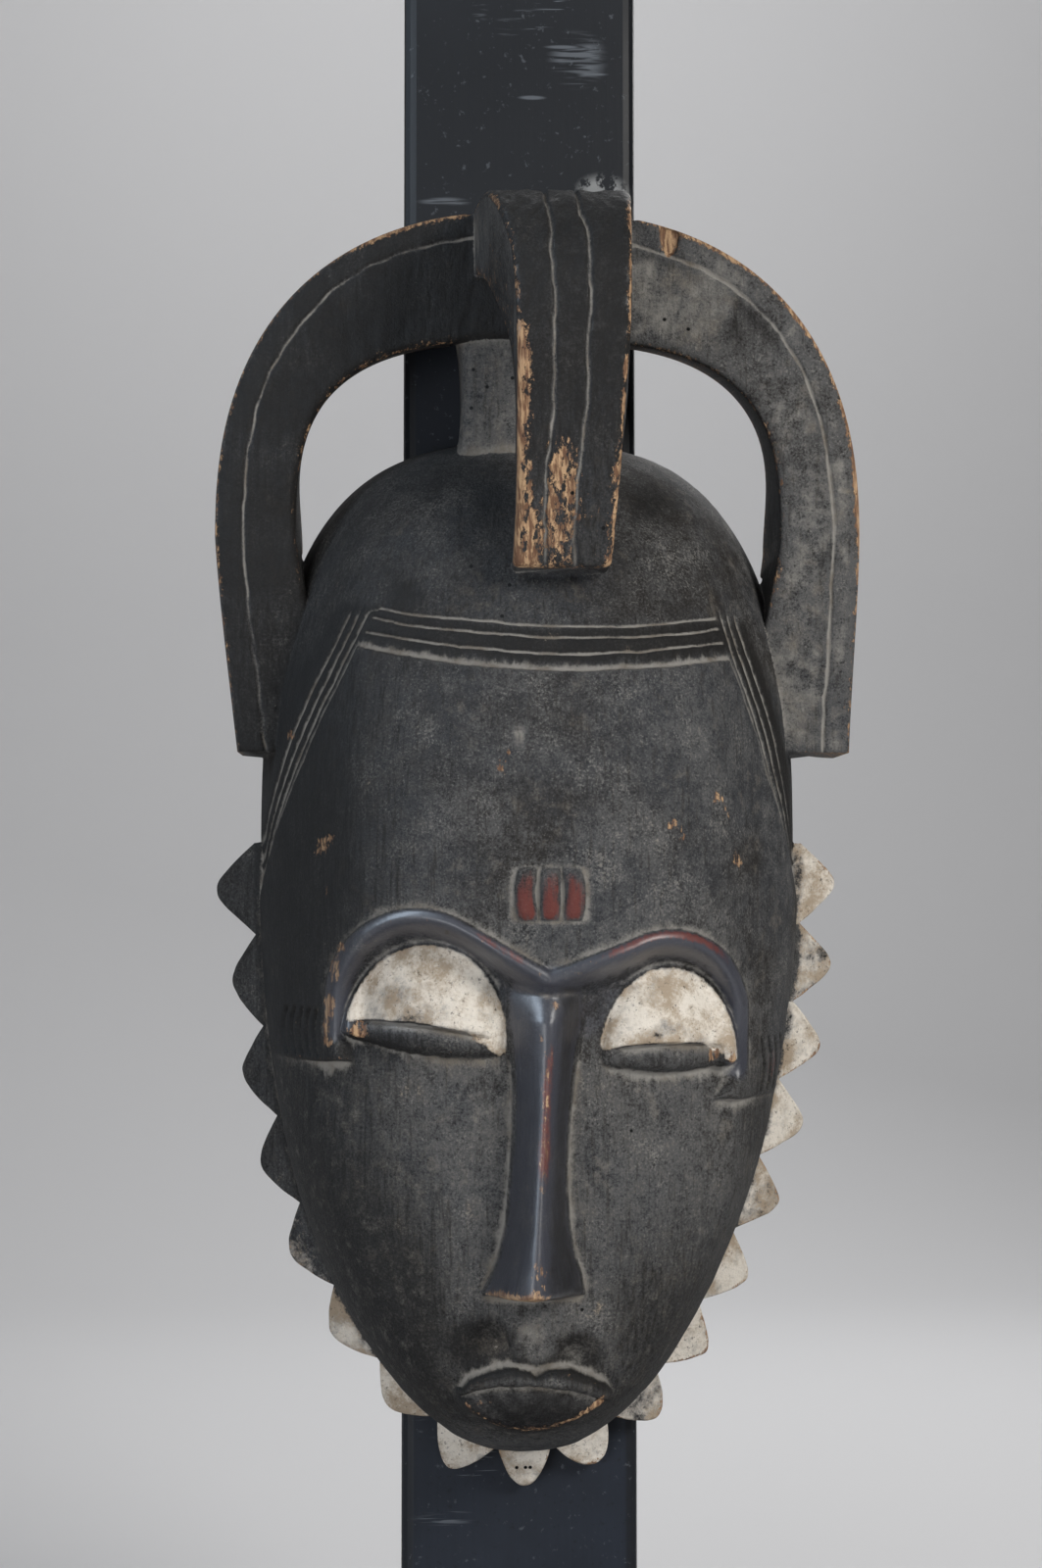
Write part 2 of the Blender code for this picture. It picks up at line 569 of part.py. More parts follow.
def arch_path():
    """Outer and inner edges of the arches from the left foot over the top to the right foot."""
    angle = np.linspace(math.pi, 0.0, ARCH_STATIONS)
    swing = np.cos(angle)
    lift = np.sin(angle)
    outer_x = ARCH_HALF_WIDTH * np.sign(swing) * np.abs(swing) ** (2.0 / ARCH_FULLNESS)
    outer_z = ARCH_SPRING_Z + ARCH_RISE * lift ** (2.0 / ARCH_FULLNESS)
    inner_x = HOLE_HALF_WIDTH * np.sign(swing) * np.abs(swing) ** (2.0 / HOLE_FULLNESS)
    inner_z = ARCH_SPRING_Z + HOLE_RISE * lift ** (2.0 / HOLE_FULLNESS)
    foot = np.linspace(ARCH_FOOT_Z, ARCH_SPRING_Z, ARCH_FOOT_STATIONS)[:-1]
    share = ((ARCH_SPRING_Z - foot) / (ARCH_SPRING_Z - ARCH_FOOT_Z)) ** ARCH_TAPER_POWER
    inset = HOLE_HALF_WIDTH - (HOLE_HALF_WIDTH - ARCH_INSET_IN_HEAD) * np.clip(share * 2.0, 0.0, 1.0)
    left = np.column_stack([-ARCH_HALF_WIDTH + LEFT_ARCH_TAPER * share, foot, -inset, foot])
    right = np.column_stack([ARCH_HALF_WIDTH - RIGHT_ARCH_TAPER * share, foot, inset, foot])[::-1]
    return np.vstack([left, np.column_stack([outer_x, outer_z, inner_x, inner_z]), right])


def make_arches(collection):
    """Both side arches: a plate with rounded edges and an incised line along its outer edge."""
    sections = []
    for outer_x, outer_z, inner_x, inner_z in arch_path():
        outer = np.array([outer_x, outer_z])
        across = np.array([inner_x, inner_z]) - outer
        width = np.linalg.norm(across)
        across = across / width
        share = soft_step(outer_z, ARCH_FOOT_Z, ARCH_SPRING_Z)
        front = ARCH_FOOT_DEPTH + (ARCH_DEPTH - ARCH_FOOT_DEPTH) * share
        line = ARCH_LINE_INSET
        profile = [(0.0, ARCH_BACK), (0.0, front - ARCH_EDGE), (0.3 * ARCH_EDGE, front - 0.3 * ARCH_EDGE)]
        profile += [(ARCH_EDGE, front), (line - ARCH_LINE_HALF_WIDTH, front), (line, front - ARCH_LINE_DEPTH)]
        profile += [(line + ARCH_LINE_HALF_WIDTH, front), (width - 0.5 * ARCH_EDGE, front)]
        lift = soft_step(inner_z, ARCH_SPRING_Z, ARCH_SPRING_Z + HOLE_RISE)
        profile += [(width, front - 0.5 * ARCH_EDGE), (width - HOLE_BACK_RISE * lift, ARCH_BACK)]
        points = [(*(outer + across * inward), depth) for inward, depth in profile]
        sections.append(np.array([(x, h, z) for x, z, h in points]))
    return loft("arches", sections, collection)


def rounded_box(left, right, back, front, corner):
    """Corner points of a rectangle in x and h with its four corners cut round."""
    points = []
    for x, h, first in ((left, back, 180), (right, back, 270), (right, front, 0), (left, front, 90)):
        center_x = x + corner * (1 if x == left else -1)
        center_h = h + corner * (1 if h == back else -1)
        for angle in (first, first + 45, first + 90):
            turn = math.radians(angle)
            points.append((center_x + corner * math.cos(turn), center_h + corner * math.sin(turn)))
    return points


def make_neck(collection):
    """The block between crown and arches, a little narrower at half its height."""
    sections = []
    for z in np.linspace(NECK_BOTTOM_Z, NECK_TOP_Z, NECK_STATIONS):
        away = (z - (NECK_BOTTOM_Z + NECK_TOP_Z) / 2) / ((NECK_TOP_Z - NECK_BOTTOM_Z) / 2)
        half = NECK_HALF_WIDTH + NECK_FLARE * away**2
        section = rounded_box(-half, half, ARCH_BACK, NECK_DEPTH, NECK_CORNER)
        sections.append(np.array([(x, h, z) for x, h in section]))
    return loft("neck", sections, collection)


def make_tongue(collection):
    """The band that leaves the top of the arches, curls forward and comes down onto the crown."""
    outer = smooth_line(TONGUE_OUTER, TONGUE_STEPS)
    inner = smooth_line(TONGUE_INNER, TONGUE_STEPS)
    left, right = smooth_line(list(zip(TONGUE_LEFT, TONGUE_RIGHT)), TONGUE_STEPS).T
    sections = []
    for top, under, x0, x1 in zip(outer, inner, left, right):
        thick = np.linalg.norm(under - top)
        down = (under - top) / thick
        edge = TONGUE_CORNER
        profile = [(x0, thick - edge), (x0, edge), (x0 + edge, 0.0)]
        for groove in TONGUE_GROOVES:
            middle = x0 + (x1 - x0) * groove
            profile += [(middle - TONGUE_GROOVE_HALF_WIDTH, 0.0), (middle, TONGUE_GROOVE_DEPTH)]
            profile += [(middle + TONGUE_GROOVE_HALF_WIDTH, 0.0)]
        profile += [(x1 - edge, 0.0), (x1, edge), (x1, thick - edge), (x1 - edge, thick), (x0 + edge, thick)]
        sections.append(np.array([(x, top[0] + down[0] * d, top[1] + down[1] * d) for x, d in profile]))
    return loft("tongue", sections, collection)


def rim_line():
    """Points of the head's outline on its flat back, from the left ear round the chin to the right ear."""
    z = CHIN_Z + (COLLAR_START_Z - CHIN_Z) * (0.5 - 0.5 * np.cos(np.linspace(0.0, math.pi, RIM_STEPS)))
    half = head_half_width(z)
    left = np.column_stack([head_axis(z) - half, z])[::-1]
    right = np.column_stack([head_axis(z) + half, z])[1:]
    return np.vstack([left, right])


def make_collar(collection):
    """The collar of blunt triangular teeth, thickest where it leaves the head.

    The teeth are spaced along the line of their tips, which runs round the rim at a tooth's height.
    """
    rim = rim_line()
    tangent = np.gradient(rim, axis=0)
    tangent = tangent / np.linalg.norm(tangent, axis=1)[:, None]
    outward = np.column_stack([tangent[:, 1], -tangent[:, 0]])
    tip_line = rim + outward * (COLLAR_ROOT + sum(TOOTH_HEIGHTS) / len(TOOTH_HEIGHTS))
    run = np.concatenate([[0.0], np.cumsum(np.linalg.norm(np.diff(tip_line, axis=0), axis=1))])
    pitches = np.array(TOOTH_PITCHES)
    tips = pitches[0] / 2 + np.concatenate([[0.0], np.cumsum(pitches)])
    edges = np.concatenate([[0.0], (tips[:-1] + tips[1:]) / 2, [tips[-1] + pitches[-1] / 2]])
    fit = run[-1] / edges[-1]
    share = np.arange(COLLAR_STEPS) / COLLAR_STEPS
    places = (edges[:-1, None] + np.diff(edges)[:, None] * share[None, :]).ravel()
    shares = np.append(np.tile(share, len(tips)), 1.0)
    heights = np.append(np.repeat(TOOTH_HEIGHTS, COLLAR_STEPS), TOOTH_HEIGHTS[-1])
    places = np.append(places, edges[-1]) * fit
    sections = []
    for place, share, height in zip(places, shares, heights):
        x, z, out_x, out_z = (np.interp(place, run, v) for v in (*rim.T, *outward.T))
        point = min((0.5 - abs(share - 0.5)) * 2.0 / (1.0 - TOOTH_BLUNTNESS), 1.0)
        reach = COLLAR_ROOT + height * point
        front = COLLAR_ROOT_DEPTH + (COLLAR_TIP_DEPTH - COLLAR_ROOT_DEPTH) * point
        profile = [(-COLLAR_INSET, COLLAR_BACK), (-COLLAR_INSET, COLLAR_ROOT_DEPTH), (0.0, COLLAR_ROOT_DEPTH)]
        profile += [(reach - COLLAR_EDGE, front), (reach, front - COLLAR_EDGE), (reach, COLLAR_BACK)]
        sections.append(np.array([(x + out_x * out, h, z + out_z * out) for out, h in profile]))
    return loft("collar", sections, collection)


def make_material(name, color, roughness, metallic=0.0):
    """A plain finish with a colour, a roughness and a metallic value."""
    material = bpy.data.materials.new(name)
    material.use_nodes = True
    shader = material.node_tree.nodes["Principled BSDF"]
    shader.inputs["Base Color"].default_value = (*color, 1.0)
    shader.inputs["Roughness"].default_value = roughness
    shader.inputs["Metallic"].default_value = metallic
    return material


def add_boolean(target, tool, operation):
    """Joins a tool to the target or cuts it away, and leaves the tool as a hidden guide."""
    modifier = target.modifiers.new(f"{operation.lower()} {tool.name}", "BOOLEAN")
    modifier.operation = operation
    modifier.solver = "EXACT"
    modifier.object = tool
    tool.hide_render = True
    tool.display_type = "WIRE"


def make_mask(parts, cutters):
    """The carved mask: head, collar, neck, arches and tongue joined, hollowed, and its facets thinned out."""
    head = head_surface(HEAD_COLUMNS, HEAD_ROWS)
    mask = domed_body("mask", *head, CHIN_Z, CROWN_Z, 0.0, parts)
    for tool in (make_collar(cutters), make_neck(cutters), make_arches(cutters), make_tongue(cutters)):
        add_boolean(mask, tool, "UNION")
    hollow = hollow_surface(HOLLOW_COLUMNS, HOLLOW_ROWS)
    add_boolean(mask, domed_body("hollow", *hollow, *hollow_ends(), HOLLOW_OVERCUT, cutters), "DIFFERENCE")
    thin = mask.modifiers.new("thin out facets", "DECIMATE")
    thin.ratio = KEPT_FACETS
    mask.data.materials.append(make_material("dark patinated wood", (0.075, 0.078, 0.083), 0.62))
    mask.data.shade_smooth()
    return mask


def make_box(name, size, center, corner, material, parts):
    """A box with rounded edges."""
    bpy.ops.mesh.primitive_cube_add(size=1.0, location=center)
    box = bpy.context.object
    box.name = name
    box.scale = size
    bpy.ops.object.transform_apply(location=False, rotation=False, scale=True)
    for collection in list(box.users_collection):
        collection.objects.unlink(box)
    parts.objects.link(box)
    bevel = box.modifiers.new("rounded edges", "BEVEL")
    bevel.width = corner
    bevel.segments = EDGE_SEGMENTS
    box.data.materials.append(material)
    return box


def main():
    """Clears the scene and builds the mask, the post and the base."""
    for item in list(bpy.data.objects):
        bpy.data.objects.remove(item, do_unlink=True)
    parts = bpy.data.collections.new("carved mask on a post")
    cutters = bpy.data.collections.new("cutters")
    for collection in (parts, cutters):
        bpy.context.scene.collection.children.link(collection)
    make_mask(parts, cutters)
    paint = make_material("slate blue paint", (0.10, 0.125, 0.15), 0.5)
    post_center = (0.0, POST_FRONT_Y + POST_DEPTH / 2, BASE_THICKNESS + MASK_CLEARANCE + POST_HEIGHT / 2)
    make_box("post", (POST_WIDTH, POST_DEPTH, POST_HEIGHT), post_center, POST_CORNER, paint, parts)
    foot_paint = make_material("slate blue foot paint", (0.10, 0.125, 0.15), 0.5)
    make_box("base", (BASE_WIDTH, BASE_DEPTH, BASE_THICKNESS), (0.0, 0.0, BASE_THICKNESS / 2),
             BASE_CORNER, foot_paint, parts)


main()
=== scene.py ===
"""The looks of a carved wood face mask on its painted display post.

The carving is laid out in carving units, which are millimetres: x to the right of someone who faces the mask,
h forward from its flat back, and z up from the middle of the forehead. All other lengths are in metres.
Each surface of the mask is worked out as a grid of points with the finish of the wood at each point, the
surfaces are joined into one closed body, and its facets are thinned out where the wood is plain.
"""
import math

import bpy
import numpy as np
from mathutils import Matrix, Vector


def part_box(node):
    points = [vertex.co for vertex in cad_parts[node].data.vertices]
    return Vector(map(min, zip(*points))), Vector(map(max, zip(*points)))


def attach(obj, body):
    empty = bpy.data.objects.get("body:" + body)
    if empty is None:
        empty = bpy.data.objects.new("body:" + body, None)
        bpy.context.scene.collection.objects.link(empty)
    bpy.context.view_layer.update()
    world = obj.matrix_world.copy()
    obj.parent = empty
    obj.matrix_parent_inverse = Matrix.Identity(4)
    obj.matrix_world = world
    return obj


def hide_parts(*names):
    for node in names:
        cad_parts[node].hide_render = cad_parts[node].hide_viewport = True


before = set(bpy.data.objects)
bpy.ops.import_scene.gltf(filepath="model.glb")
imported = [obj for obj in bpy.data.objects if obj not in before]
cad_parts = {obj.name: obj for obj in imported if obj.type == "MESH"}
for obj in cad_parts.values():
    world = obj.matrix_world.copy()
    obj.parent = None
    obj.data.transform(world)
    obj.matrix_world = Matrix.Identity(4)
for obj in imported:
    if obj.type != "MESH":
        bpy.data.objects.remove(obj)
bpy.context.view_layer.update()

# Where the mask sits on its post, worked out from the frame
UNIT = 0.001
POST_LOW, POST_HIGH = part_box("post")
MASK_CLEARANCE = 0.0003
MASK_SIDE_SHIFT = 0.0044
LOWEST_TOOTH_Z = -226.5
POST_BELOW_MASK = 0.108
MIDDLE_X = (POST_LOW.x + POST_HIGH.x) / 2 + MASK_SIDE_SHIFT
BACK_Y = POST_LOW.y - MASK_CLEARANCE
ZERO_Z = POST_LOW.z + POST_BELOW_MASK - LOWEST_TOOTH_Z * UNIT

# Fineness of the surfaces, and the most triangles that the finished mask keeps
FINENESS = 1.0
HEAD_GRID = (round(620 * FINENESS), round(700 * FINENESS))
HOLLOW_GRID = (150, 150)
ARCH_STATIONS = round(560 * FINENESS)
ARCH_FOOT_STATIONS = round(90 * FINENESS)
TONGUE_STEPS = round(40 * FINENESS)
TONGUE_COLUMNS = round(110 * FINENESS)
COLLAR_STEPS = round(44 * FINENESS)
MOST_TRIANGLES = 192000
ROW_CROWDING = 0.3

# A distance larger than the mask
FAR = 400.0

# Head
CROWN_Z = 111.0
CHIN_Z = -210.0
WIDEST_Z = -25.0
HEAD_HALF_WIDTH = 86.0
CROWN_ROUNDNESS = (2.85, 2.85)
JAW_ROUNDNESS = (2.1, 1.8)
DEEPEST_Z = -30.0
FOREHEAD_DEPTH = 100.0
FOREHEAD_ROUNDNESS = (2.4, 2.4)
FOREHEAD_FALL = (3.0, 2.2)
FACE_DEPTH = 87.0
CHIN_SQUARENESS = (11.0, 2.0)
CROWN_SECTION = 2.35
CHEEK_SECTION = 3.0
SECTION_CHANGE = (60.0, 130.0)
AXIS_TOP_X = -2.0
AXIS_CHIN_X = -4.6
AXIS_DRIFT = (40.0, 170.0)
LEFT_JAW = ((-64.0, -104.0), (-60.0, -128.0), (-50.0, -150.0), (-37.0, -173.0), (-24.0, -187.0))
JAW_RIDGE = 0.9
JAW_RIDGE_HALF_WIDTH = 9.0
RIGHT_JAW = ((57.0, -104.0), (53.0, -128.0), (43.0, -150.0), (30.0, -172.0), (17.0, -187.0))

# Brows
LEFT_BROW_CENTER = (-37.5, -67.0)
LEFT_BROW_RADIUS = 27.3
RIGHT_BROW_CENTER = (36.0, -71.5)
RIGHT_BROW_RADIUS = 25.6
BROW_MEETING = (0.8, -57.5)
LEFT_TEMPLE_Z = -84.4
RIGHT_TEMPLE_Z = -95.8
TEMPLE_REACH = 110.0
BROW_BEAD = 2.3
BROW_SHOULDER = 3.4
BROW_FALL = 9.5
BROW_SLOPE = (-13.0, -2.5)
BROW_FADE = (0.0, 11.0)
TEMPLE_SLOPE = (-1.2, 0.0)
TEMPLE_SHALLOWING = 0.7
TEMPLE_RANGE = (50.0, 72.0)
TEMPLE_CUT_DEPTH = 1.9
TEMPLE_CUT_HALF_WIDTH = 0.9
TEMPLE_CUT_BOW = 1.2
LEFT_TEMPLE_CUTS = (-77.0, -74.3, -71.8, -69.4, -67.0)
LEFT_TEMPLE_CUT_ENDS = (-84.0, -69.5)
RIGHT_TEMPLE_CUTS = (66.6, 69.4, 72.0, 74.8)
RIGHT_TEMPLE_CUT_ENDS = (-95.0, -78.5)

# Eyes: centre of the lower edge, half width, height of the lid, tilt of the slit in degrees
LEFT_EYE = (-35.0, -78.5, 24.5, 29.0, -7.0)
RIGHT_EYE = (36.5, -84.0, 21.5, 28.0, 0.0)
LID_BULGE = 11.0
LID_ROUNDNESS = (2.6, 1.9)
LOWER_LID_HEIGHT = 4.6
SOCKET_DEPTH = 4.0
SOCKET_SPREAD = (1.12, 1.08)
SOCKET_BELOW = 13.0
SOCKET_EDGE = (0.85, 1.12)
SLIT_RISE = 5.0
SLIT_SAG = 2.2
SLIT_DEPTH = 2.2
SLIT_HALF_WIDTH = 0.9
LID_LEDGE = 1.6

# Nose: heights along it, with the reach of its left and right edge from the ridge, and the ridge's height
NOSE_Z = (-160.0, -151.5, -145.0, -140.0, -131.0, -117.0, -103.0, -86.0, -72.0, -60.0)
NOSE_LEFT = (15.5, 15.2, 12.4, 10.8, 9.3, 8.9, 9.0, 9.8, 12.4, 14.8)
NOSE_RIGHT = (16.3, 16.2, 14.4, 12.6, 10.1, 8.7, 8.5, 9.7, 11.7, 13.2)
NOSE_RIDGE_X = (-4.0, -4.0, -3.8, -3.4, -2.7, -1.9, -1.1, -0.3, 0.3, 0.8)
NOSE_HEIGHT = (23.0, 23.0, 22.4, 21.6, 19.6, 16.6, 14.4, 13.2, 13.0, 13.0)
NOSE_ROUNDING = (0.75, 0.75, 0.62, 0.5, 0.36, 0.3, 0.3, 0.34, 0.45, 0.6)
NOSE_WING = (8.6, -146.5)
NOSE_WING_BULGE = 1.3
NOSE_WING_REACH = 4.2
NOSE_BASE_Z = -151.5
NOSE_TOP_Z = -48.0
NOSE_START = 26.0
NOSE_ROLL = 3.5
NOSE_FILLET = 8.0
NOSE_FILLET_LENGTH = 30.0

# Mouth: outlines given as x and z
MOUTH_CENTER = (-3.0, -182.0)
UPPER_LIP_TOP = (
    (-24.0, -179.0), (-22.1, -176.1), (-15.9, -173.0), (-10.2, -171.9), (-4.5, -172.8), (-2.8, -174.2),
    (1.2, -172.3), (6.8, -172.3), (12.5, -174.6), (17.6, -177.7), (20.5, -182.0),
)
UPPER_LIP_BOTTOM = (
    (-24.0, -181.0), (-20.4, -179.3), (-13.0, -177.6), (-3.0, -177.4), (6.9, -178.9), (20.5, -184.0),
)
LOWER_LIP_LINE = (
    (-26.0, -180.0), (-23.0, -183.0), (-15.9, -188.4), (-10.3, -190.8), (-5.4, -191.6), (1.1, -190.8),
    (9.5, -187.4), (15.8, -182.8), (20.5, -180.0),
)
UPPER_LIP_HEIGHT = 5.0
LENS_HEIGHTS = (2.4, 4.6)
LENS_EDGE = 4.2
LIP_ENDS = (18.5, 23.5)
MOUTH_MOUND = 5.5
MOUTH_MOUND_SIZE = (30.75, 17.0)
PANEL_HEIGHT = 0.9
PANEL_TOP = (-160.0, -152.0)
PANEL_BOTTOM = (-173.0, -170.5)
PANEL_HALF_WIDTHS = (4.2, 9.5)
PANEL_EDGE = 3.0
DIMPLES = ((-16.0, -165.5, 8.5, 1.6), (9.0, -168.5, 5.5, 1.6))
FACE_CARVING_EDGE = 0.35
LIP_GRAIN = (0.9, 31)

# Forehead scars
SCAR_CENTERS = (-5.7, 0.9, 7.5)
SCAR_HALF_WIDTH = 3.15
SCAR_TOP_Z = -28.3
SCAR_BOTTOM_Z = -43.6
SCAR_HEIGHT = 2.4
SCAR_FIELD = (10.5, 14.0)
SCAR_FIELD_DEPTH = 0.8

# Hair band
HAIR_MIDDLE_Z = 29.0
HAIR_SAG = 6.6
HAIR_TILT = -0.03
HAIR_CORNER_X = 55.0
HAIR_STEP = 1.5
HAIR_LINES = (5.6, 10.2, 13.6)
HAIR_SIDE_LINES = (3.0, 5.4, 8.2)
HAIR_LINE_DEPTH = 0.8
HAIR_LINE_HALF_WIDTH = 0.85
LEFT_HAIR_SIDE = (
    (-90.0, -42.0), (-83.0, -21.0), (-77.0, -6.0), (-69.5, 10.0), (-62.0, 24.6), (-55.0, 38.0), (-51.0, 46.0),
)
RIGHT_HAIR_SIDE = (
    (52.0, 48.0), (56.4, 34.5), (62.6, 19.6), (69.5, 0.0), (75.0, -14.0), (81.0, -31.0), (88.0, -54.0),
)
HAIR_SIDE_ENDS = (-46.0, -30.0, 46.0, 52.0)

# Side arches of the crest
ARCH_SPRING_Z = 75.0
ARCH_HALF_WIDTH = 100.0
ARCH_RISE = 102.0
ARCH_FULLNESS = 2.4
ARCH_FOOT_Z = 8.5
LEFT_ARCH_TAPER = 6.5
RIGHT_ARCH_TAPER = 2.2
ARCH_TAPER_POWER = 1.2
ARCH_DEPTH = 45.0
ARCH_FOOT_DEPTH = 36.0
ARCH_BACK = 1.5
HOLE_HALF_WIDTH = 75.0
HOLE_RISE = 61.0
HOLE_FULLNESS = 3.0
HOLE_BACK_RISE = 8.0
ARCH_INSET_IN_HEAD = 68.0
ARCH_EDGE = 3.2
HOLE_EDGE = 2.6
ARCH_LINE_INSET = 8.6
ARCH_LINE_DEPTH = 0.9
ARCH_LINE_HALF_WIDTH = 1.0
ARCH_NOTCH = (40.6, 168.0, 4.6, 8.6)
ARCH_CRACK = (96.0, 89.2)

# Neck between the crown and the arches
NECK_HALF_WIDTH = 24.0
NECK_FLARE = 3.0
NECK_BOTTOM_Z = 92.0
NECK_TOP_Z = 150.0
NECK_DEPTH = 43.8
NECK_CORNERS = 0.22

# Tongue of the crest
TONGUE_OUTER = (
    (18.0, 177.5), (45.0, 177.5), (74.0, 174.5), (94.0, 166.0), (105.0, 151.0),
    (108.0, 130.0), (106.0, 104.0), (102.0, 79.0), (97.0, 58.5),
)
TONGUE_INNER = (
    (18.0, 142.0), (45.0, 155.0), (62.0, 151.0), (79.0, 141.0), (90.0, 126.0),
    (94.0, 110.0), (92.0, 93.0), (88.0, 75.0), (80.0, 58.5),
)
TONGUE_LEFT = (-22.0, -20.0, -17.5, -14.5, -10.5, -9.0, -8.8, -8.9, -9.8)
TONGUE_RIGHT = (30.0, 28.5, 26.5, 25.0, 24.3, 23.8, 22.2, 20.6, 18.8)
TONGUE_FIRST_GROOVE = (0.0, 0.0, 0.2, 0.6, 1.1, 2.2, 1.4, 0.2, -0.6)
TONGUE_SECOND_GROOVE = (9.0, 9.0, 9.4, 9.6, 11.8, 12.2, 10.8, 9.2, 8.0)
TONGUE_EDGE = 2.4
TONGUE_END = 2.0
TONGUE_GROOVE_DEPTH = 1.3
TONGUE_GROOVE_HALF_WIDTH = 1.15

# Toothed collar round the jaw
COLLAR_START_Z = -19.4
COLLAR_ROOT = 1.5
COLLAR_INSET = 7.0
TOOTH_HEIGHTS = (12.5,) + 6 * (8.8,) + 4 * (13.0,) + 7 * (11.8,)
TOOTH_PITCHES = 6 * (30.0,) + (28.0,) + 3 * (23.6,) + 7 * (26.3,)
TOOTH_BLUNTNESS = 8 * (0.3,) + (0.45, 0.95, 0.5) + 7 * (0.3,)
COLLAR_BACK = 0.6
COLLAR_ROOT_DEPTH = 13.0
COLLAR_TIP_DEPTH = 7.5
COLLAR_EDGE = 1.8

# Hollow behind the face
MASK_WALL = 16.0
HOLLOW_SECTION = 0.85
HOLLOW_TOP = (2.4, 2.4)
HOLLOW_CHIN = (5.0, 2.0)
CHIN_WALL_SHARE = 1.15
HOLLOW_OVERCUT = 6.0

# Names of the layers of finish that every surface carries; the last holds soot and painted shade
LAYERS = ("kaolin", "red", "bare", "dust", "polish", "soot")


def soft_step(value, low, high):
    """Rises smoothly from 0 at low to 1 at high."""
    t = np.clip((value - low) / (high - low), 0.0, 1.0)
    return t * t * (3.0 - 2.0 * t)


def fade(value, low, high):
    """Falls smoothly from 1 at low to 0 at high."""
    return 1.0 - soft_step(value, low, high)


def window(value, low, full, end, high):
    """Rises smoothly from 0 at low to 1 at full, and falls again from 1 at end to 0 at high."""
    return soft_step(value, low, full) * fade(value, end, high)


def bell(distance, half_width):
    """A rounded ridge of height 1: a cosine bell that ends half_width to either side."""
    t = np.clip(np.abs(distance) / half_width, 0.0, 1.0)
    return 0.5 + 0.5 * np.cos(np.pi * t)


def rounded(t, power, root):
    """Superellipse quarter: 1 at t = 0 and 0 at t = 1."""
    return np.clip(1.0 - np.clip(t, 0.0, 1.0) ** power, 0.0, 1.0) ** (1.0 / root)


def pointed(t, blunt):
    """A straight-sided peak with a round tip: a hyperbola that is 1 at t = 0 and 0 at t = 1."""
    corner = np.hypot(1.0, blunt)
    return (corner - np.hypot(t, blunt)) / (corner - blunt)


def signed_power(value, power):
    """A power of the value's size, with the value's sign."""
    return np.sign(value) * np.abs(value) ** power


def blended_top(first, second, blend):
    """The higher of two reliefs, with a fillet of about the size given where they cross."""
    reach = np.maximum(blend, 1e-6)
    t = np.clip(0.5 + 0.5 * (first - second) / reach, 0.0, 1.0)
    return second + (first - second) * t + reach * t * (1.0 - t)


def smooth_line(points, steps):
    """Points of a Catmull-Rom curve through the given ones, with the end points kept."""
    p = np.array(points, dtype=float)
    p = np.vstack([2 * p[0] - p[1], p, 2 * p[-1] - p[-2]])
    t = np.linspace(0.0, 1.0, steps, endpoint=False)[:, None]
    pieces = []
    for a, b, c, d in zip(p[:-3], p[1:-2], p[2:-1], p[3:]):
        square = 2 * a - 5 * b + 4 * c - d
        cube = 3 * b - a - 3 * c + d
        pieces.append(b + 0.5 * ((c - a) * t + square * t**2 + cube * t**3))
    return np.vstack(pieces + [p[-2:-1]])


def arc_line(center, radius, start, end, steps=24):
    """Points of a circular arc in the face plane, from one angle in degrees to the other."""
    angle = np.radians(np.linspace(start, end, steps))
    return np.column_stack([center[0] + radius * np.cos(angle), center[1] + radius * np.sin(angle)])


def run_along(line):
    """Distance along a line of points to each of them."""
    return np.concatenate([[0.0], np.cumsum(np.linalg.norm(np.diff(line, axis=0), axis=1))])


def line_distance(x, z, line, reach):
    """Distance of each point to a line of points: positive on the line's left, negative on its right.

    Points that are further than the reach from the line's box are given the reach.
    """
    line = np.asarray(line, dtype=float)
    low, high = line.min(axis=0) - reach, line.max(axis=0) + reach
    near = (x > low[0]) & (x < high[0]) & (z > low[1]) & (z < high[1])
    px, pz = x[near], z[near]
    nearest = np.full(px.shape, np.inf)
    side = np.ones(px.shape)
    for (ax, az), (bx, bz) in zip(line[:-1], line[1:]):
        run_x, run_z = bx - ax, bz - az
        t = np.clip(((px - ax) * run_x + (pz - az) * run_z) / (run_x**2 + run_z**2), 0.0, 1.0)
        gap = np.hypot(px - ax - t * run_x, pz - az - t * run_z)
        closer = gap < nearest
        nearest = np.where(closer, gap, nearest)
        side = np.where(closer, np.sign(run_x * (pz - az) - run_z * (px - ax) + 1e-12), side)
    distance = np.full(x.shape, reach)
    distance[near] = nearest * side
    return distance


def mottle(u, v, size, seed):
    """Smooth seeded noise between -1 and 1: random values on a lattice of cells, blended softly."""
    lattice = np.random.default_rng(seed).uniform(-1.0, 1.0, (128, 128))
    a, b = u / size + 640.0, v / size + 640.0
    i, j = np.floor(a).astype(int), np.floor(b).astype(int)
    fa, fb = soft_step(a - i, 0.0, 1.0), soft_step(b - j, 0.0, 1.0)
    i, j = i % 127, j % 127
    low = lattice[i, j] * (1.0 - fa) + lattice[i + 1, j] * fa
    high = lattice[i, j + 1] * (1.0 - fa) + lattice[i + 1, j + 1] * fa
    return low * (1.0 - fb) + high * fb


def ripple(along, size, seed):
    """Smooth seeded noise that changes only along a line."""
    return mottle(along, 0.0 * along, size, seed)


def tool_marks(u, v, seed):
    """The unevenness left by the blade: long shallow cuts along v, with a finer roughness on them."""
    return 0.16 * mottle(u, v * 0.35, 5.0, seed) + 0.07 * mottle(u, v * 0.5, 1.9, seed + 1)


def patch(x, z, center_x, center_z, radius_x, radius_z):
    """A soft oval patch: 1 at its centre and 0 at its rim."""
    return fade(np.hypot((x - center_x) / radius_x, (z - center_z) / radius_z), 0.0, 1.0)


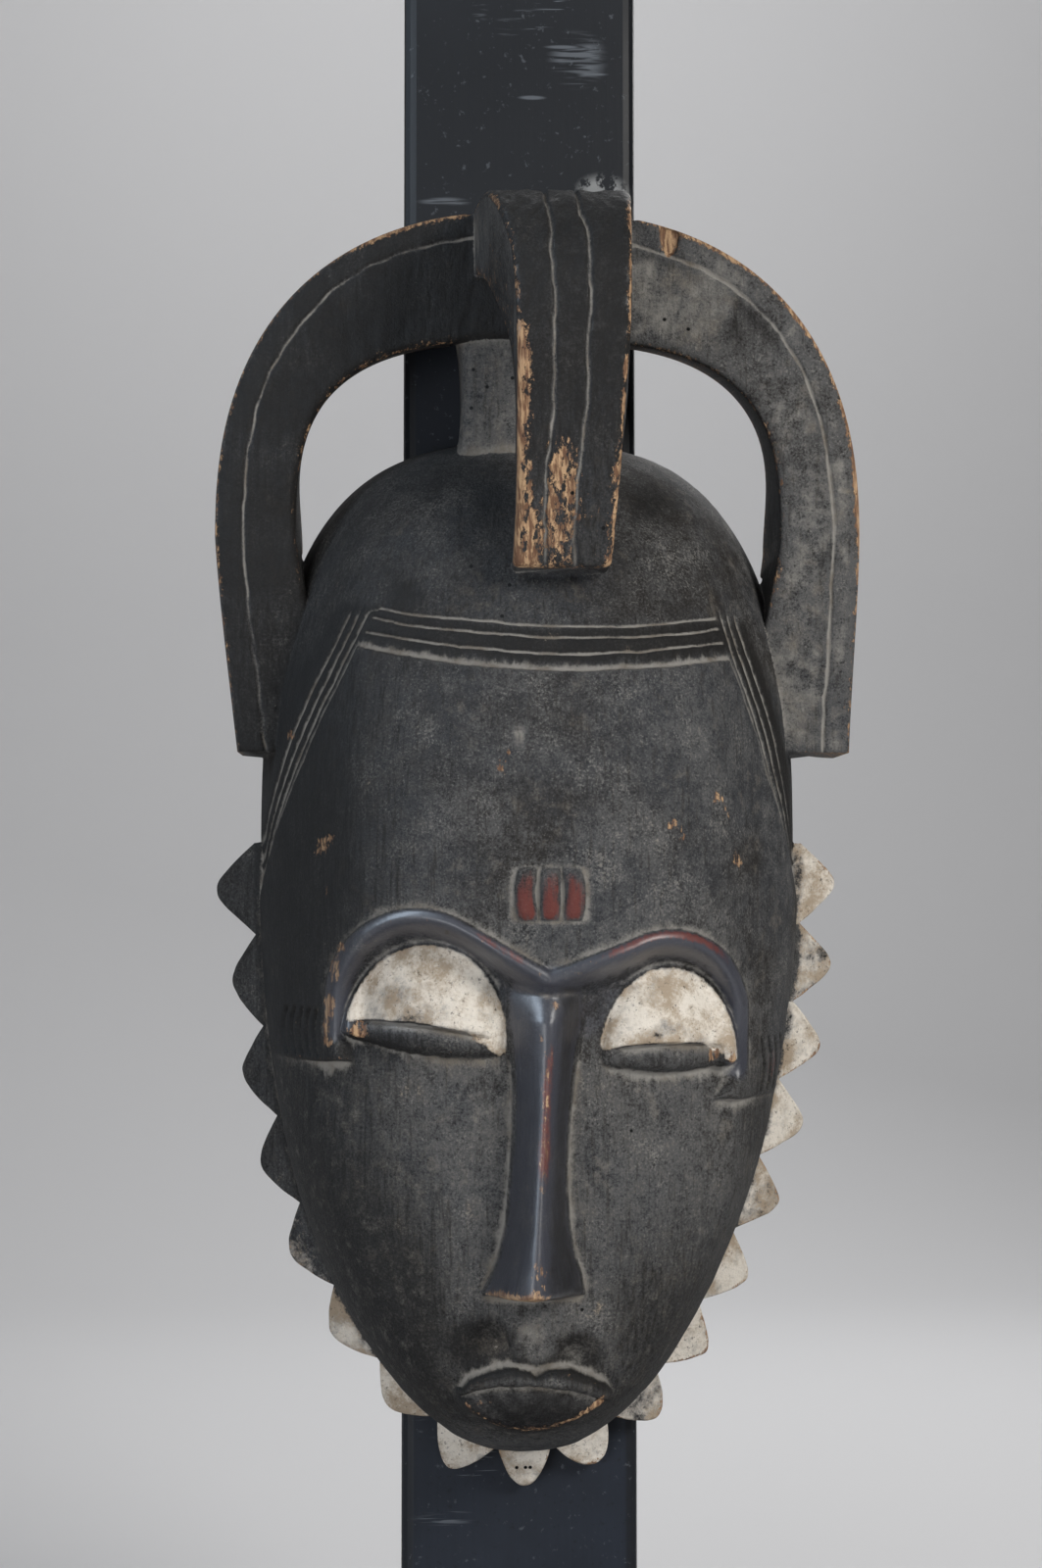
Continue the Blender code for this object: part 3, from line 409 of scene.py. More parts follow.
def patches(x, z, places):
    """Soft oval patches, each times the share that is listed last."""
    return [share * patch(x, z, *place) for *place, share in places]


def head_axis(z):
    """The x of the head's middle line, which drifts to one side towards the chin."""
    return AXIS_TOP_X + (AXIS_CHIN_X - AXIS_TOP_X) * soft_step(-z, *AXIS_DRIFT)


def profile(z, middle, above, below):
    """1 at the middle height, falling along superellipses to 0 at the crown and at the chin."""
    up = rounded((z - middle) / (CROWN_Z - middle), *above)
    down = rounded((middle - z) / (middle - CHIN_Z), *below)
    return np.where(z > middle, up, down)


def head_half_width(z):
    """Half the head's width at height z: rounded above its widest place, longer and narrower below."""
    return HEAD_HALF_WIDTH * profile(z, WIDEST_Z, CROWN_ROUNDNESS, JAW_ROUNDNESS)


def section_power(z):
    """Exponent of the head's cross-section: rounder at the crown, squarer at the cheeks."""
    return CROWN_SECTION + (CHEEK_SECTION - CROWN_SECTION) * soft_step(-z, *SECTION_CHANGE)


def forehead_depth(z):
    """Depth of the head's middle line at the level of the forehead and temples."""
    return FOREHEAD_DEPTH * profile(z, DEEPEST_Z, FOREHEAD_ROUNDNESS, FOREHEAD_FALL)


def face_depth(z):
    """Depth of the head's middle line at the level of the face below the brows."""
    return FACE_DEPTH * profile(z, WIDEST_Z, FOREHEAD_ROUNDNESS, CHIN_SQUARENESS)


def brow_line():
    """The upper edge of the brows, from the outer end of one over the point between them to the other."""
    left = arc_line(LEFT_BROW_CENTER, LEFT_BROW_RADIUS, 180.0, 62.0)
    right = arc_line(RIGHT_BROW_CENTER, RIGHT_BROW_RADIUS, 118.0, 0.0)
    left_end = (left[0][0], LEFT_TEMPLE_Z)
    right_end = (right[-1][0], RIGHT_TEMPLE_Z)
    return np.vstack([[left_end], left, [BROW_MEETING], right, [right_end]])


def forehead_line():
    """The brow line, run on to both sides of the head by the steps under the temples."""
    brow = brow_line()
    return np.vstack([[(-TEMPLE_REACH, LEFT_TEMPLE_Z)], brow, [(TEMPLE_REACH, RIGHT_TEMPLE_Z)]])


def eye_place(x, z, eye):
    """Places along and across an eye's slit, and the height of the slit above the eye's lower edge."""
    center_x, center_z, half_width, height, tilt = eye
    turn = math.radians(tilt)
    u = (x - center_x) * math.cos(turn) + (z - center_z) * math.sin(turn)
    v = (z - center_z) * math.cos(turn) - (x - center_x) * math.sin(turn)
    slit = SLIT_RISE - SLIT_SAG * (u / half_width) ** 2
    return u, v, slit


def eye_relief(x, z, eye):
    """A bulging half-moon lid over a socket, that steps down at the slit to a narrow lower lid."""
    half_width, height = eye[2], eye[3]
    u, v, slit = eye_place(x, z, eye)
    socket_height = np.where(v > 0.0, height * SOCKET_SPREAD[1], SOCKET_BELOW)
    reach = np.hypot(u / (half_width * SOCKET_SPREAD[0]), v / socket_height)
    socket = -SOCKET_DEPTH * fade(reach, *SOCKET_EDGE)
    lid_height = np.where(v > 0.0, height, LOWER_LID_HEIGHT)
    lid = LID_BULGE * rounded(np.hypot(u / half_width, v / lid_height), *LID_ROUNDNESS)
    ends = fade(np.abs(u) / half_width, 0.6, 0.85)
    ledge = -LID_LEDGE * ends * fade(v - slit, -1.0, 0.2) * (lid > 0.0)
    cut = -SLIT_DEPTH * ends * bell(v - slit + 0.5, SLIT_HALF_WIDTH)
    return socket + lid + ledge + cut


def nose_relief(x, z):
    """A narrow ridge whose edges spread to flat-based wings, rounded over at its lower end."""
    tables = (NOSE_LEFT, NOSE_RIGHT, NOSE_RIDGE_X, NOSE_HEIGHT)
    left, right, ridge, height = (np.interp(z, NOSE_Z, values) for values in tables)
    t = np.clip(np.abs(x - ridge) / np.where(x < ridge, left, right), 0.0, 1.0)
    section = pointed(t, np.interp(z, NOSE_Z, NOSE_ROUNDING))
    wing = NOSE_WING_BULGE * bell(np.hypot(x - NOSE_WING[0], (z - NOSE_WING[1]) * 0.7), NOSE_WING_REACH)
    roll = np.clip((z - NOSE_BASE_Z) / NOSE_ROLL, 0.0, 1.0)
    base = (1.0 - (1.0 - roll) ** 3) ** 0.4 * (z > NOSE_BASE_Z)
    top = fade(z, NOSE_TOP_Z - NOSE_START, NOSE_TOP_Z)
    return (height * section + wing) * base * top


def lip_places(x, z):
    """How high points are in the upper lip, how far down the lower lip, and how far above its rim."""
    upper_top, upper_bottom, lower = (
        np.interp(x, *np.array(line).T) for line in (UPPER_LIP_TOP, UPPER_LIP_BOTTOM, LOWER_LIP_LINE)
    )
    down = (upper_bottom - z) / np.maximum(upper_bottom - lower, 0.5)
    return (z - upper_bottom) / (upper_top - upper_bottom), np.clip(down, 0.0, 1.0), z - lower


def mouth_relief(x, z):
    """A low mound with a banded upper lip over a lens-shaped lower one, and a panel under the nose."""
    center_x, center_z = MOUTH_CENTER
    away = np.abs(x - center_x)
    out = np.hypot((x - center_x) / MOUTH_MOUND_SIZE[0], (z - center_z) / MOUTH_MOUND_SIZE[1])
    mound = MOUTH_MOUND * bell(out, 1.0)
    in_upper, down, over_rim = lip_places(x, z)
    ends = fade(away, *LIP_ENDS)
    upper = UPPER_LIP_HEIGHT * rounded(np.abs(in_upper * 2.0 - 1.0), 4.0, 2.0)
    upper = upper * (1.0 + 0.06 * mottle(x, z * 0.2, *LIP_GRAIN) - 0.12 * bell(x + 4.2, 0.8))
    lens = LENS_HEIGHTS[0] + (LENS_HEIGHTS[1] - LENS_HEIGHTS[0]) * down**1.5
    lens = lens * soft_step(over_rim, -LENS_EDGE, 0.3) * (in_upper < 0.15)
    lips = ends * np.maximum(upper, lens)
    bottom_half, top_half = PANEL_HALF_WIDTHS
    half = bottom_half + (top_half - bottom_half) * soft_step(z, PANEL_BOTTOM[0], PANEL_TOP[1])
    panel_ends = soft_step(z, *PANEL_BOTTOM) * fade(z, *PANEL_TOP)
    panel = PANEL_HEIGHT * panel_ends * fade(away, half, half + PANEL_EDGE)
    dimples = sum(deep * bell(np.hypot(x - at_x, z - at_z), radius) for at_x, at_z, radius, deep in DIMPLES)
    return mound + lips + panel - dimples


def scar_relief(x, z):
    """Three raised rounded bars, a little bowed, in a shallow sunk field."""
    middle = (SCAR_TOP_Z + SCAR_BOTTOM_Z) / 2
    half_height = (SCAR_TOP_Z - SCAR_BOTTOM_Z) / 2
    along = np.clip(np.abs(z - middle) / half_height, 0.0, 1.0)
    bars = np.zeros(x.shape)
    for number, center in enumerate(SCAR_CENTERS):
        bow = (number - 1) * 1.0 * (0.6 - along**2)
        half = SCAR_HALF_WIDTH * (1.0 - 0.12 * along**4)
        bars = np.maximum(bars, rounded(np.abs(x - center - bow) / half, 2.0, 2.0) * rounded(along, 5.0, 2.0))
    field_x = fade(np.abs(x - SCAR_CENTERS[1]), *SCAR_FIELD)
    field_z = fade(np.abs(z - middle), half_height - 1.0, half_height + 3.0)
    field = field_x * field_z
    return SCAR_HEIGHT * bars - SCAR_FIELD_DEPTH * field, bars, field


def hair_places(x, z):
    """Heights over the band's lower edge, and distances outside its left and right edge."""
    over = z - (HAIR_MIDDLE_Z + HAIR_SAG * (x / HAIR_CORNER_X) ** 2 + HAIR_TILT * x)
    left = line_distance(x, z, smooth_line(LEFT_HAIR_SIDE, 2), FAR)
    right = line_distance(x, z, smooth_line(RIGHT_HAIR_SIDE, 2), FAR)
    return over, left, right


def hair_relief(x, z):
    """The step round the forehead and the incised lines outside it, their dust, and distances outside."""
    over, left, right = hair_places(x, z)
    wander = 0.35 * mottle(x, z, 11.0, 41) + 0.12 * mottle(x, z, 2.5, 42)
    low_end, low_start, high_start, high_end = HAIR_SIDE_ENDS
    sides = soft_step(z, low_end, low_start)
    outside = np.maximum(over, np.maximum(left, right))
    step = soft_step(outside + wander, -0.8, 0.6)
    across_ends = fade(np.maximum(left, right), 0.5, 1.5)
    side_ends = sides * fade(z, high_start, high_end)
    lines = np.zeros(x.shape)
    for number, (across, patch_and_line_shadow) in enumerate(zip(HAIR_LINES, HAIR_SIDE_LINES)):
        slip = wander + 0.3 * mottle(x, z, 9.0, 43 + number)
        line = bell(over + slip - across, HAIR_LINE_HALF_WIDTH) * across_ends
        spread = 0.6 + 0.4 * soft_step(z, -30.0, 20.0)
        for side in (left, right):
            line = np.maximum(line, bell(side + 0.5 * slip - patch_and_line_shadow * spread, 0.9) * side_ends)
        lines = np.maximum(lines, line)
    relief = -sides * HAIR_STEP * step - HAIR_LINE_DEPTH * lines
    ledge = sides * bell(outside + wander - 0.6, 2.2)
    return relief, np.maximum(ledge, lines), outside


def temple_relief(x, z):
    """Short upright cuts beside the outer ends of the brows, bowed with them."""
    cuts = np.zeros(x.shape)
    for centers, (low, high), center in (
        (LEFT_TEMPLE_CUTS, LEFT_TEMPLE_CUT_ENDS, LEFT_BROW_CENTER),
        (RIGHT_TEMPLE_CUTS, RIGHT_TEMPLE_CUT_ENDS, RIGHT_BROW_CENTER),
    ):
        ends = soft_step(z, low - 0.5, low + 1.0) * fade(z, high - 1.5, high + 0.5)
        off_middle = (z - (low + high) / 2) / ((high - low) / 2)
        bow = np.sign(center[0]) * TEMPLE_CUT_BOW * (1.0 - off_middle**2)
        for cut in centers:
            cuts = np.maximum(cuts, ends * bell(x - cut - bow, TEMPLE_CUT_HALF_WIDTH))
    return cuts


def normals_of(x, h, z):
    """Outward directions of a grid surface: the cross product of its two tangents, facing forward."""
    along = np.stack([np.gradient(v, axis=1) for v in (x, h, z)], axis=-1)
    up = np.stack([np.gradient(v, axis=0) for v in (x, h, z)], axis=-1)
    normal = np.cross(along, up)
    length = np.maximum(np.linalg.norm(normal, axis=-1, keepdims=True), 1e-9)
    normal = normal / length
    return normal * np.where(normal[..., 1:2] < 0.0, -1.0, 1.0)


def head_surface(columns, rows):
    """Grid of the carved head from chin to crown and from left rim to right rim, with its finish.

    Each row is a superellipse arch over the flat back. Its depth passes from the level of the forehead to
    that of the face across the brow line. Lids, nose and mouth are added straight forward, and shallow cuts
    are added square to the surface.
    """
    share = np.linspace(0.0, 1.0, rows)[1:-1, None]
    share = share - ROW_CROWDING * np.sin(2.0 * math.pi * share) / (2.0 * math.pi)
    z = CHIN_Z + (CROWN_Z - CHIN_Z) * share
    across = np.sin(np.linspace(-math.pi / 2, math.pi / 2, columns))[None, :]
    power = section_power(z)
    x = head_axis(z) + head_half_width(z) * across
    section = (1.0 - np.abs(across) ** power) ** (1.0 / power)
    z = z + 0.0 * x
    above = line_distance(x, z, forehead_line(), FAR)
    brow_gap = line_distance(x, z, brow_line(), 30.0)
    away = np.abs(x - head_axis(z))
    over_temple = z - np.where(x < 0.0, LEFT_TEMPLE_Z, RIGHT_TEMPLE_Z)
    temple = soft_step(over_temple + 0.3 * mottle(x, z, 6.0, 3), *TEMPLE_SLOPE)
    step = (forehead_depth(z) - face_depth(z)) * (1.0 - TEMPLE_SHALLOWING * soft_step(away, *TEMPLE_RANGE))
    step = step * soft_step(above, *BROW_SLOPE) * temple
    below_edge = -brow_gap
    shoulder = rounded(1.0 - below_edge / BROW_SHOULDER, 2.0, 2.0) * (below_edge > 0.0)
    fall = fade(below_edge, BROW_SHOULDER, BROW_SHOULDER + BROW_FALL)
    crest = shoulder * fall * soft_step(over_temple, *BROW_FADE)
    relief = step * section + BROW_BEAD * crest
    relief = relief + eye_relief(x, z, LEFT_EYE) + eye_relief(x, z, RIGHT_EYE)
    nose = nose_relief(x, z)
    relief = blended_top(relief, nose, NOSE_FILLET * bell(z - NOSE_TOP_Z, NOSE_FILLET_LENGTH))
    scars, bars, field = scar_relief(x, z)
    carving = mouth_relief(x, z) + scars
    h = face_depth(z) * section + relief + carving * soft_step(section, 0.0, FACE_CARVING_EDGE)
    h[:, [0, -1]] = 0.0

    hair, hair_dust, outside = hair_relief(x, z)
    cuts = temple_relief(x, z)
    jaw = np.zeros(x.shape)
    for line in (LEFT_JAW, RIGHT_JAW):
        gap = line_distance(x, z, smooth_line(line, 6), JAW_RIDGE_HALF_WIDTH + 3.0)
        jaw = np.maximum(jaw, bell(gap, JAW_RIDGE_HALF_WIDTH))
    marks = tool_marks(x, z, 11) * (1.0 - 0.7 * crest)
    depth = hair - TEMPLE_CUT_DEPTH * cuts + JAW_RIDGE * jaw + marks
    depth = depth * soft_step(section, 0.02, 0.25)
    normal = normals_of(x, h, z)
    x, h, z = (v + normal[..., i] * depth for i, v in enumerate((x, h, z)))
    h[:, [0, -1]] = 0.0
    finish = head_finish(x, z, brow_gap, crest, nose, bars, field, hair_dust, outside, cuts)
    return (x, h, z), finish


def eye_finish(x, z):
    """Kaolin on the lids, dust in the slits, shade on the lower lids, and a dusty line round these."""
    kaolin, strip, under, lens_edge = np.zeros((4, *x.shape))
    for eye in (LEFT_EYE, RIGHT_EYE):
        half_width, height = eye[2:4]
        u, v, slit = eye_place(x, z, eye)
        reach = np.hypot(u / half_width, v / np.where(v > 0.0, height, LOWER_LID_HEIGHT))
        inside = half_width * (1.0 - reach)
        ends = fade(np.abs(u) / half_width, 0.55, 0.85)
        drop = 4.5 * soft_step(u / half_width, 0.4, 0.9)
        kaolin = np.maximum(kaolin, soft_step(inside, 0.0, 1.6) * soft_step(v - slit + drop, -0.6, 0.6))
        strip = np.maximum(strip, bell(v - slit + 2.0, 2.4) * (inside > 0.2) * ends)
        under = np.maximum(under, soft_step(slit - v, 2.8, 4.2) * soft_step(inside, -0.6, 0.8) * (v > -8.0))
        lens_edge = np.maximum(lens_edge, bell(inside + 0.9, 1.3) * (v < slit - drop))
    return 0.9 * kaolin - sum(patches(x, z, LID_STAINS)), strip, under, lens_edge


def head_finish(x, z, brow_gap, crest, nose, bars, field, hair_dust, outside, cuts):
    """Layers of finish on the head: pigment, dust, polish and wear where the carving puts them."""
    kaolin, strip, under, lens_edge = eye_finish(x, z)
    on_nose = soft_step(nose, 1.0, 5.0)
    ridge_x = np.interp(z, NOSE_Z, NOSE_RIDGE_X)
    on_ridge = bell(x - ridge_x - 0.6, 3.6) * window(z, -124.0, -112.0, -84.0, -72.0)
    nose_tip = bell(z - NOSE_BASE_Z - 2.0, 4.0) * (z > NOSE_BASE_Z) * fade(x, -4.0, 3.0)
    in_upper, down, over_rim = lip_places(x, z)
    lip_ends = fade(np.abs(x - MOUTH_CENTER[0]), *LIP_ENDS)
    upper_lip = lip_ends * fade(np.abs(in_upper * 2.0 - 1.0), 0.8, 1.1)
    lens = lip_ends * soft_step(down, 0.02, 0.12) * soft_step(over_rim, -1.0, 0.5)
    rim = lip_ends * bell(over_rim, 3.0)
    bead_top = bell(brow_gap + 1.6, 2.6)
    bridge = patch(x, z, 0.8, -68.0, 16.0, 20.0)
    socket = (brow_gap < -3.0) * (brow_gap > -29.0) * soft_step(z, -84.0, -74.0) * (1.0 - on_nose)
    polish = np.clip(np.maximum.reduce([crest, on_nose, bridge, 0.45 * socket, 0.5 * lens]), 0.0, 1.0)
    polish = polish * (1.0 - kaolin.clip(0.0, 1.0))

    red = np.maximum.reduce([
        bars * (1.0 - 0.5 * soft_step(z, -40.0, -27.0)),
        0.78 * on_ridge,
        0.95 * bead_top * window(x, 8.0, 22.0, 50.0, 58.0),
        0.75 * bead_top * window(x, -26.0, -18.0, -8.0, -2.0),
        0.55 * patch(x, z, 71.0, -87.0, 6.5, 10.0) * (1.0 - cuts),
    ])
    chips = [
        CHIP_SHARE * patch(x, z, at_x, at_z, CHIP_SPREAD * wide, CHIP_SPREAD * high)
        for at_x, at_z, wide, high in CHIPS
    ]
    bare = np.maximum.reduce([
        0.62 * nose_tip * on_nose,
        0.66 * patch(x, z, -2.5, -143.0, 4.4, 9.0) * on_nose,
        rim * (0.6 + 0.15 * soft_step(x, -8.0, 0.0)),
        0.55 * lens * patch(x, z, -18.0, -181.5, 9.0, 6.0),
        0.48 * on_ridge,
        *np.clip(chips, 0.0, CHIP_MOST),
    ])
    brow_dust = np.exp(-np.clip(brow_gap, 0.0, None) / 5.0) * (brow_gap > -0.3) * (brow_gap < 29.0)
    lip_dust = upper_lip * (0.34 + 0.5 * mottle(x, z * 0.2, *LIP_GRAIN)) * (1.0 - bell(in_upper - 1.0, 0.35))
    dust = np.maximum.reduce([
        0.85 * hair_dust,
        0.45 * brow_dust,
        0.5 * bell(nose - 0.4, 1.4) * (z < -84.0),
        0.5 * field * (1.0 - bars),
        0.85 * strip,
        0.55 * lens_edge,
        lip_dust,
        *patches(x, z, PHILTRUM_DUST),
    ])
    dust = np.clip(dust, 0.0, 1.0) * (1.0 - on_nose) * (1.0 - 0.8 * crest)
    dust = np.maximum.reduce([dust, *patches(x, z, DUST_PATCHES)])
    # Darker wood from patches and soot, with painted shade where marked
    soot = sum([
        *patches(x, z, DARK_PATCHES),
        # Darker in a band across the crown under the tongue's end
        0.4 * fade(np.abs(z - 50.0), 4.0, 34.0) * fade(np.abs(x), 40.0, 66.0),
        # Darker over the left side, except where polished, and less so high up
        0.95 * soft_step(-x, 12.0, 78.0) * (1.0 - polish) * (1.0 - 0.55 * soft_step(z, 15.0, 60.0)),
        0.55 * soft_step(x, 48.0, 80.0) * soft_step(-z, 60.0, 120.0),
        0.7 * soft_step(-z, 105.0, 165.0) * soft_step(np.abs(x + 4.0), 12.0, 34.0),
        # Painted shade on the nose's right flank
        0.75 * on_nose * soft_step(x - ridge_x, 1.0, 6.0) * (z < -62.0),
        # Painted shade along the foot of the lower nose
        0.5 * bell(nose - 1.2, 1.6) * (z < -110.0),
        1.2 * patch(x, z, -4.0, -184.0, 34.0, 20.0) * (1.0 - 0.5 * upper_lip),
        # Painted shade in the creases over and under the upper lip
        lip_ends * (1.6 * bell(in_upper - 1.05, 0.6) + 1.2 * bell(in_upper + 0.2, 0.3)),
        # Darker in the hair band between its dusty lines
        1.3 * bell(outside - 7.0, 8.5) * (1.0 - np.clip(hair_dust, 0.0, 1.0)) * (z > -30.0),
        # Darker temple cuts and lower lip, and painted shade under the lower lids
        1.1 * cuts + 0.4 * under + 0.4 * lens,
    ])
    return dict(kaolin=kaolin, red=red, bare=bare, dust=dust, polish=polish, soot=np.clip(soot, 0.0, 1.0))


# Chips that show bare wood on the head: x, z, half width and half height, and how they fade out
CHIP_SHARE = 1.7
CHIP_SPREAD = 1.4
CHIP_MOST = 0.82
CHIPS = (
    (-66.0, -22.0, 3.0, 3.2), (-63.0, -19.0, 2.0, 2.0), (-12.8, 0.4, 1.6, 2.4), (-11.0, 5.0, 1.0, 1.6),
    (36.9, -15.7, 2.6, 2.0), (40.0, -20.0, 1.4, 1.6), (51.1, -7.5, 2.2, 2.6), (54.0, -12.0, 1.4, 1.6),
    (57.3, -25.8, 2.2, 3.0), (60.0, -20.0, 1.2, 1.5), (-64.2, -34.6, 1.3, 1.8), (43.0, -2.0, 1.2, 1.2),
    (-76.0, 13.0, 1.8, 2.2), (-59.6, -51.4, 1.9, 2.3), (-61.4, -57.8, 1.7, 4.4), (-63.0, -68.4, 2.2, 4.2),
    (-64.0, -74.6, 1.2, 3.6), (-63.4, -79.0, 1.7, 2.2), (-53.8, -75.0, 2.7, 2.9), (49.9, -82.5, 2.2, 2.4),
    (55.6, -83.4, 1.3, 2.2), (-20.0, -77.5, 1.8, 1.4), (2.6, -67.5, 1.1, 1.8), (-1.4, -77.0, 1.0, 1.4),
)

# Places where dust has been rubbed in: x, z, half width, half height and share
DUST_PATCHES = (
    (-7.7, 10.0, 4.0, 5.5, 0.95), (-38.0, -104.0, 22.0, 16.0, 0.35), (38.0, -108.0, 20.0, 18.0, 0.35),
    (-26.0, -128.0, 14.0, 12.0, 0.3), (30.0, -136.0, 14.0, 12.0, 0.3), (46.0, 8.0, 22.0, 30.0, 0.22),
    (-22.0, -15.0, 20.0, 16.0, 0.2), (24.0, -18.0, 20.0, 16.0, 0.25), (-2.0, -196.0, 16.0, 7.0, 0.2),
)

# Dust between nose and mouth, and darker patches on the head, in the same order
PHILTRUM_DUST = ((-3.0, -160.0, 13.0, 13.0, 0.4), (-4.0, -162.5, 10.5, 11.0, 0.75))
DARK_PATCHES = (
    (-16.0, 82.0, 13.0, 17.0, 0.75), (34.0, 84.0, 14.0, 16.0, 0.85), (-17.5, -166.0, 14.0, 12.0, 1.8),
    (9.5, -168.5, 10.0, 9.0, 1.7), (66.0, -100.0, 14.0, 30.0, 0.4), (-40.5, 51.8, 8.0, 8.0, 0.5),
)

# Places where the white of the lids is thin: x, z, half width, half height and how thin
LID_STAINS = (
    (-45.0, -65.0, 8.0, 6.0, 0.42), (-37.0, -71.0, 12.0, 4.0, 0.32), (-49.0, -70.5, 6.0, 5.0, 0.3),
    (37.0, -75.5, 10.0, 5.0, 0.5), (45.0, -78.0, 7.0, 4.0, 0.45), (30.0, -77.0, 6.0, 3.5, 0.25),
)


def hollow_ends():
    """Heights of the hollow's lowest and highest point."""
    return CHIN_Z + MASK_WALL * CHIN_WALL_SHARE, CROWN_Z - MASK_WALL


def hollow_surface(columns, rows):
    """Grid of the hollow behind the face, a wall's thickness inside the head, with the scoops of the adze."""
    low, high = hollow_ends()
    rise = np.sin(np.linspace(-math.pi / 2, math.pi / 2, rows))[1:-1, None]
    z = WIDEST_Z + np.where(rise > 0.0, high - WIDEST_Z, WIDEST_Z - low) * rise
    t = np.abs(rise)
    outline = np.where(rise > 0.0, rounded(t, *CROWN_ROUNDNESS), rounded(t, *JAW_ROUNDNESS))
    half_width = (HEAD_HALF_WIDTH - MASK_WALL) * outline
    vault = np.where(rise > 0.0, rounded(t, *HOLLOW_TOP), rounded(t, *HOLLOW_CHIN))
    depth = (FACE_DEPTH - SOCKET_DEPTH - MASK_WALL) * vault
    across = np.linspace(0.0, math.pi, columns)[None, :]
    x = head_axis(z) - half_width * signed_power(np.cos(across), HOLLOW_SECTION)
    h = depth * np.clip(np.sin(across), 0.0, 1.0) ** HOLLOW_SECTION
    z = z + 0.0 * x
    scoops = 0.9 * np.abs(mottle(x + 0.4 * h, z * 0.6, 9.0, 71)) * np.clip(h / 20.0, 0.0, 1.0)
    h = h - scoops
    return (x, h, z), plain_finish(x, dust=0.25 + 0.0 * x, bare=0.3 + 0.0 * x)


def plain_finish(like, **given):
    """Layers of finish that are nothing except where they are given."""
    return {name: given.get(name, np.zeros(like.shape)) for name in LAYERS}


def to_metres(x, h, z):
    """Carving units in the frame: right of the post's middle, in front of it, and up from the floor."""
    return np.column_stack([
        MIDDLE_X + np.ravel(x) * UNIT, BACK_Y - np.ravel(h) * UNIT, ZERO_Z + np.ravel(z) * UNIT
    ])


def placed(name, data):
    """A new object with the data, put into the scene."""
    item = bpy.data.objects.new(name, data)
    bpy.context.scene.collection.objects.link(item)
    return item


def make_object(name, vertices, faces, finish):
    """A mesh object with a layer of finish on each of its points."""
    mesh = bpy.data.meshes.new(name)
    mesh.from_pydata(vertices.tolist(), [], faces)
    for layer, values in finish.items():
        write_layer(mesh, layer, values)
    mesh.update()
    return placed(name, mesh)


def with_ends(finish, count):
    """Layers of finish as flat lists, with the given number of further points finished like the last one."""
    flat = {name: np.ravel(values) for name, values in finish.items()}
    flat = {name: np.append(values, np.full(count, values[-1])) for name, values in flat.items()}
    flat["carved"] = np.ones(len(flat["dust"]))
    return flat


def grid_faces(grid):
    """Quads between the rows of a grid of point numbers."""
    corners = (grid[:-1, :-1], grid[:-1, 1:], grid[1:, 1:], grid[1:, :-1])
    return np.stack(corners, axis=-1).reshape(-1, 4).tolist()


def ring_faces(first, after):
    """Quads between two closed rings of point numbers."""
    return np.column_stack([first, np.roll(first, -1), np.roll(after, -1), after]).tolist()


def domed_body(name, surface, bottom, top, overcut):
    """Closes a grid of rows with a point below and above, and with a flat back behind the rim."""
    (x, h, z), finish = surface
    rows, columns = x.shape
    ends = to_metres([head_axis(bottom), head_axis(top)], [0.0, 0.0], [bottom, top])
    vertices = np.vstack([to_metres(x, h, z), ends])
    low, high = rows * columns, rows * columns + 1
    grid = np.arange(rows * columns).reshape(rows, columns)
    faces = grid_faces(grid)
    faces += [(low, after, first) for first, after in zip(grid[0, :-1], grid[0, 1:])]
    faces += [(high, first, after) for first, after in zip(grid[-1, :-1], grid[-1, 1:])]
    rim = np.concatenate([[low], grid[:, 0], [high], grid[::-1, -1]])
    extra = 2
    if overcut > 0.0:
        behind = np.arange(len(vertices), len(vertices) + len(rim))
        vertices = np.vstack([vertices, vertices[rim] + np.array([0.0, overcut * UNIT, 0.0])])
        faces += ring_faces(rim, behind)
        extra += len(rim)
        rim = behind
    faces.append(tuple(rim))
    return make_object(name, vertices, faces, with_ends(finish, extra))


def loft(name, x, h, z, finish):
    """Skins rows of closed rings and caps both ends: row s, column i is point i of ring s."""
    vertices = to_metres(x, h, z)
    rings = np.arange(len(vertices)).reshape(x.shape)
    faces = [tuple(rings[0][::-1]), tuple(rings[-1])]
    for first, after in zip(rings[:-1], rings[1:]):
        faces += ring_faces(first, after)
    patch_and_line_shadow = np.roll(rings, -1, axis=1)
    a, b, c = (vertices[some.ravel()] for some in (rings[:-1], rings[1:], patch_and_line_shadow[:-1]))
    if np.einsum("ij,ij->i", a - vertices.mean(axis=0), np.cross(c - a, b - a)).sum() < 0.0:
        faces = [face[::-1] for face in faces]
    return make_object(name, vertices, faces, with_ends(finish, 0))


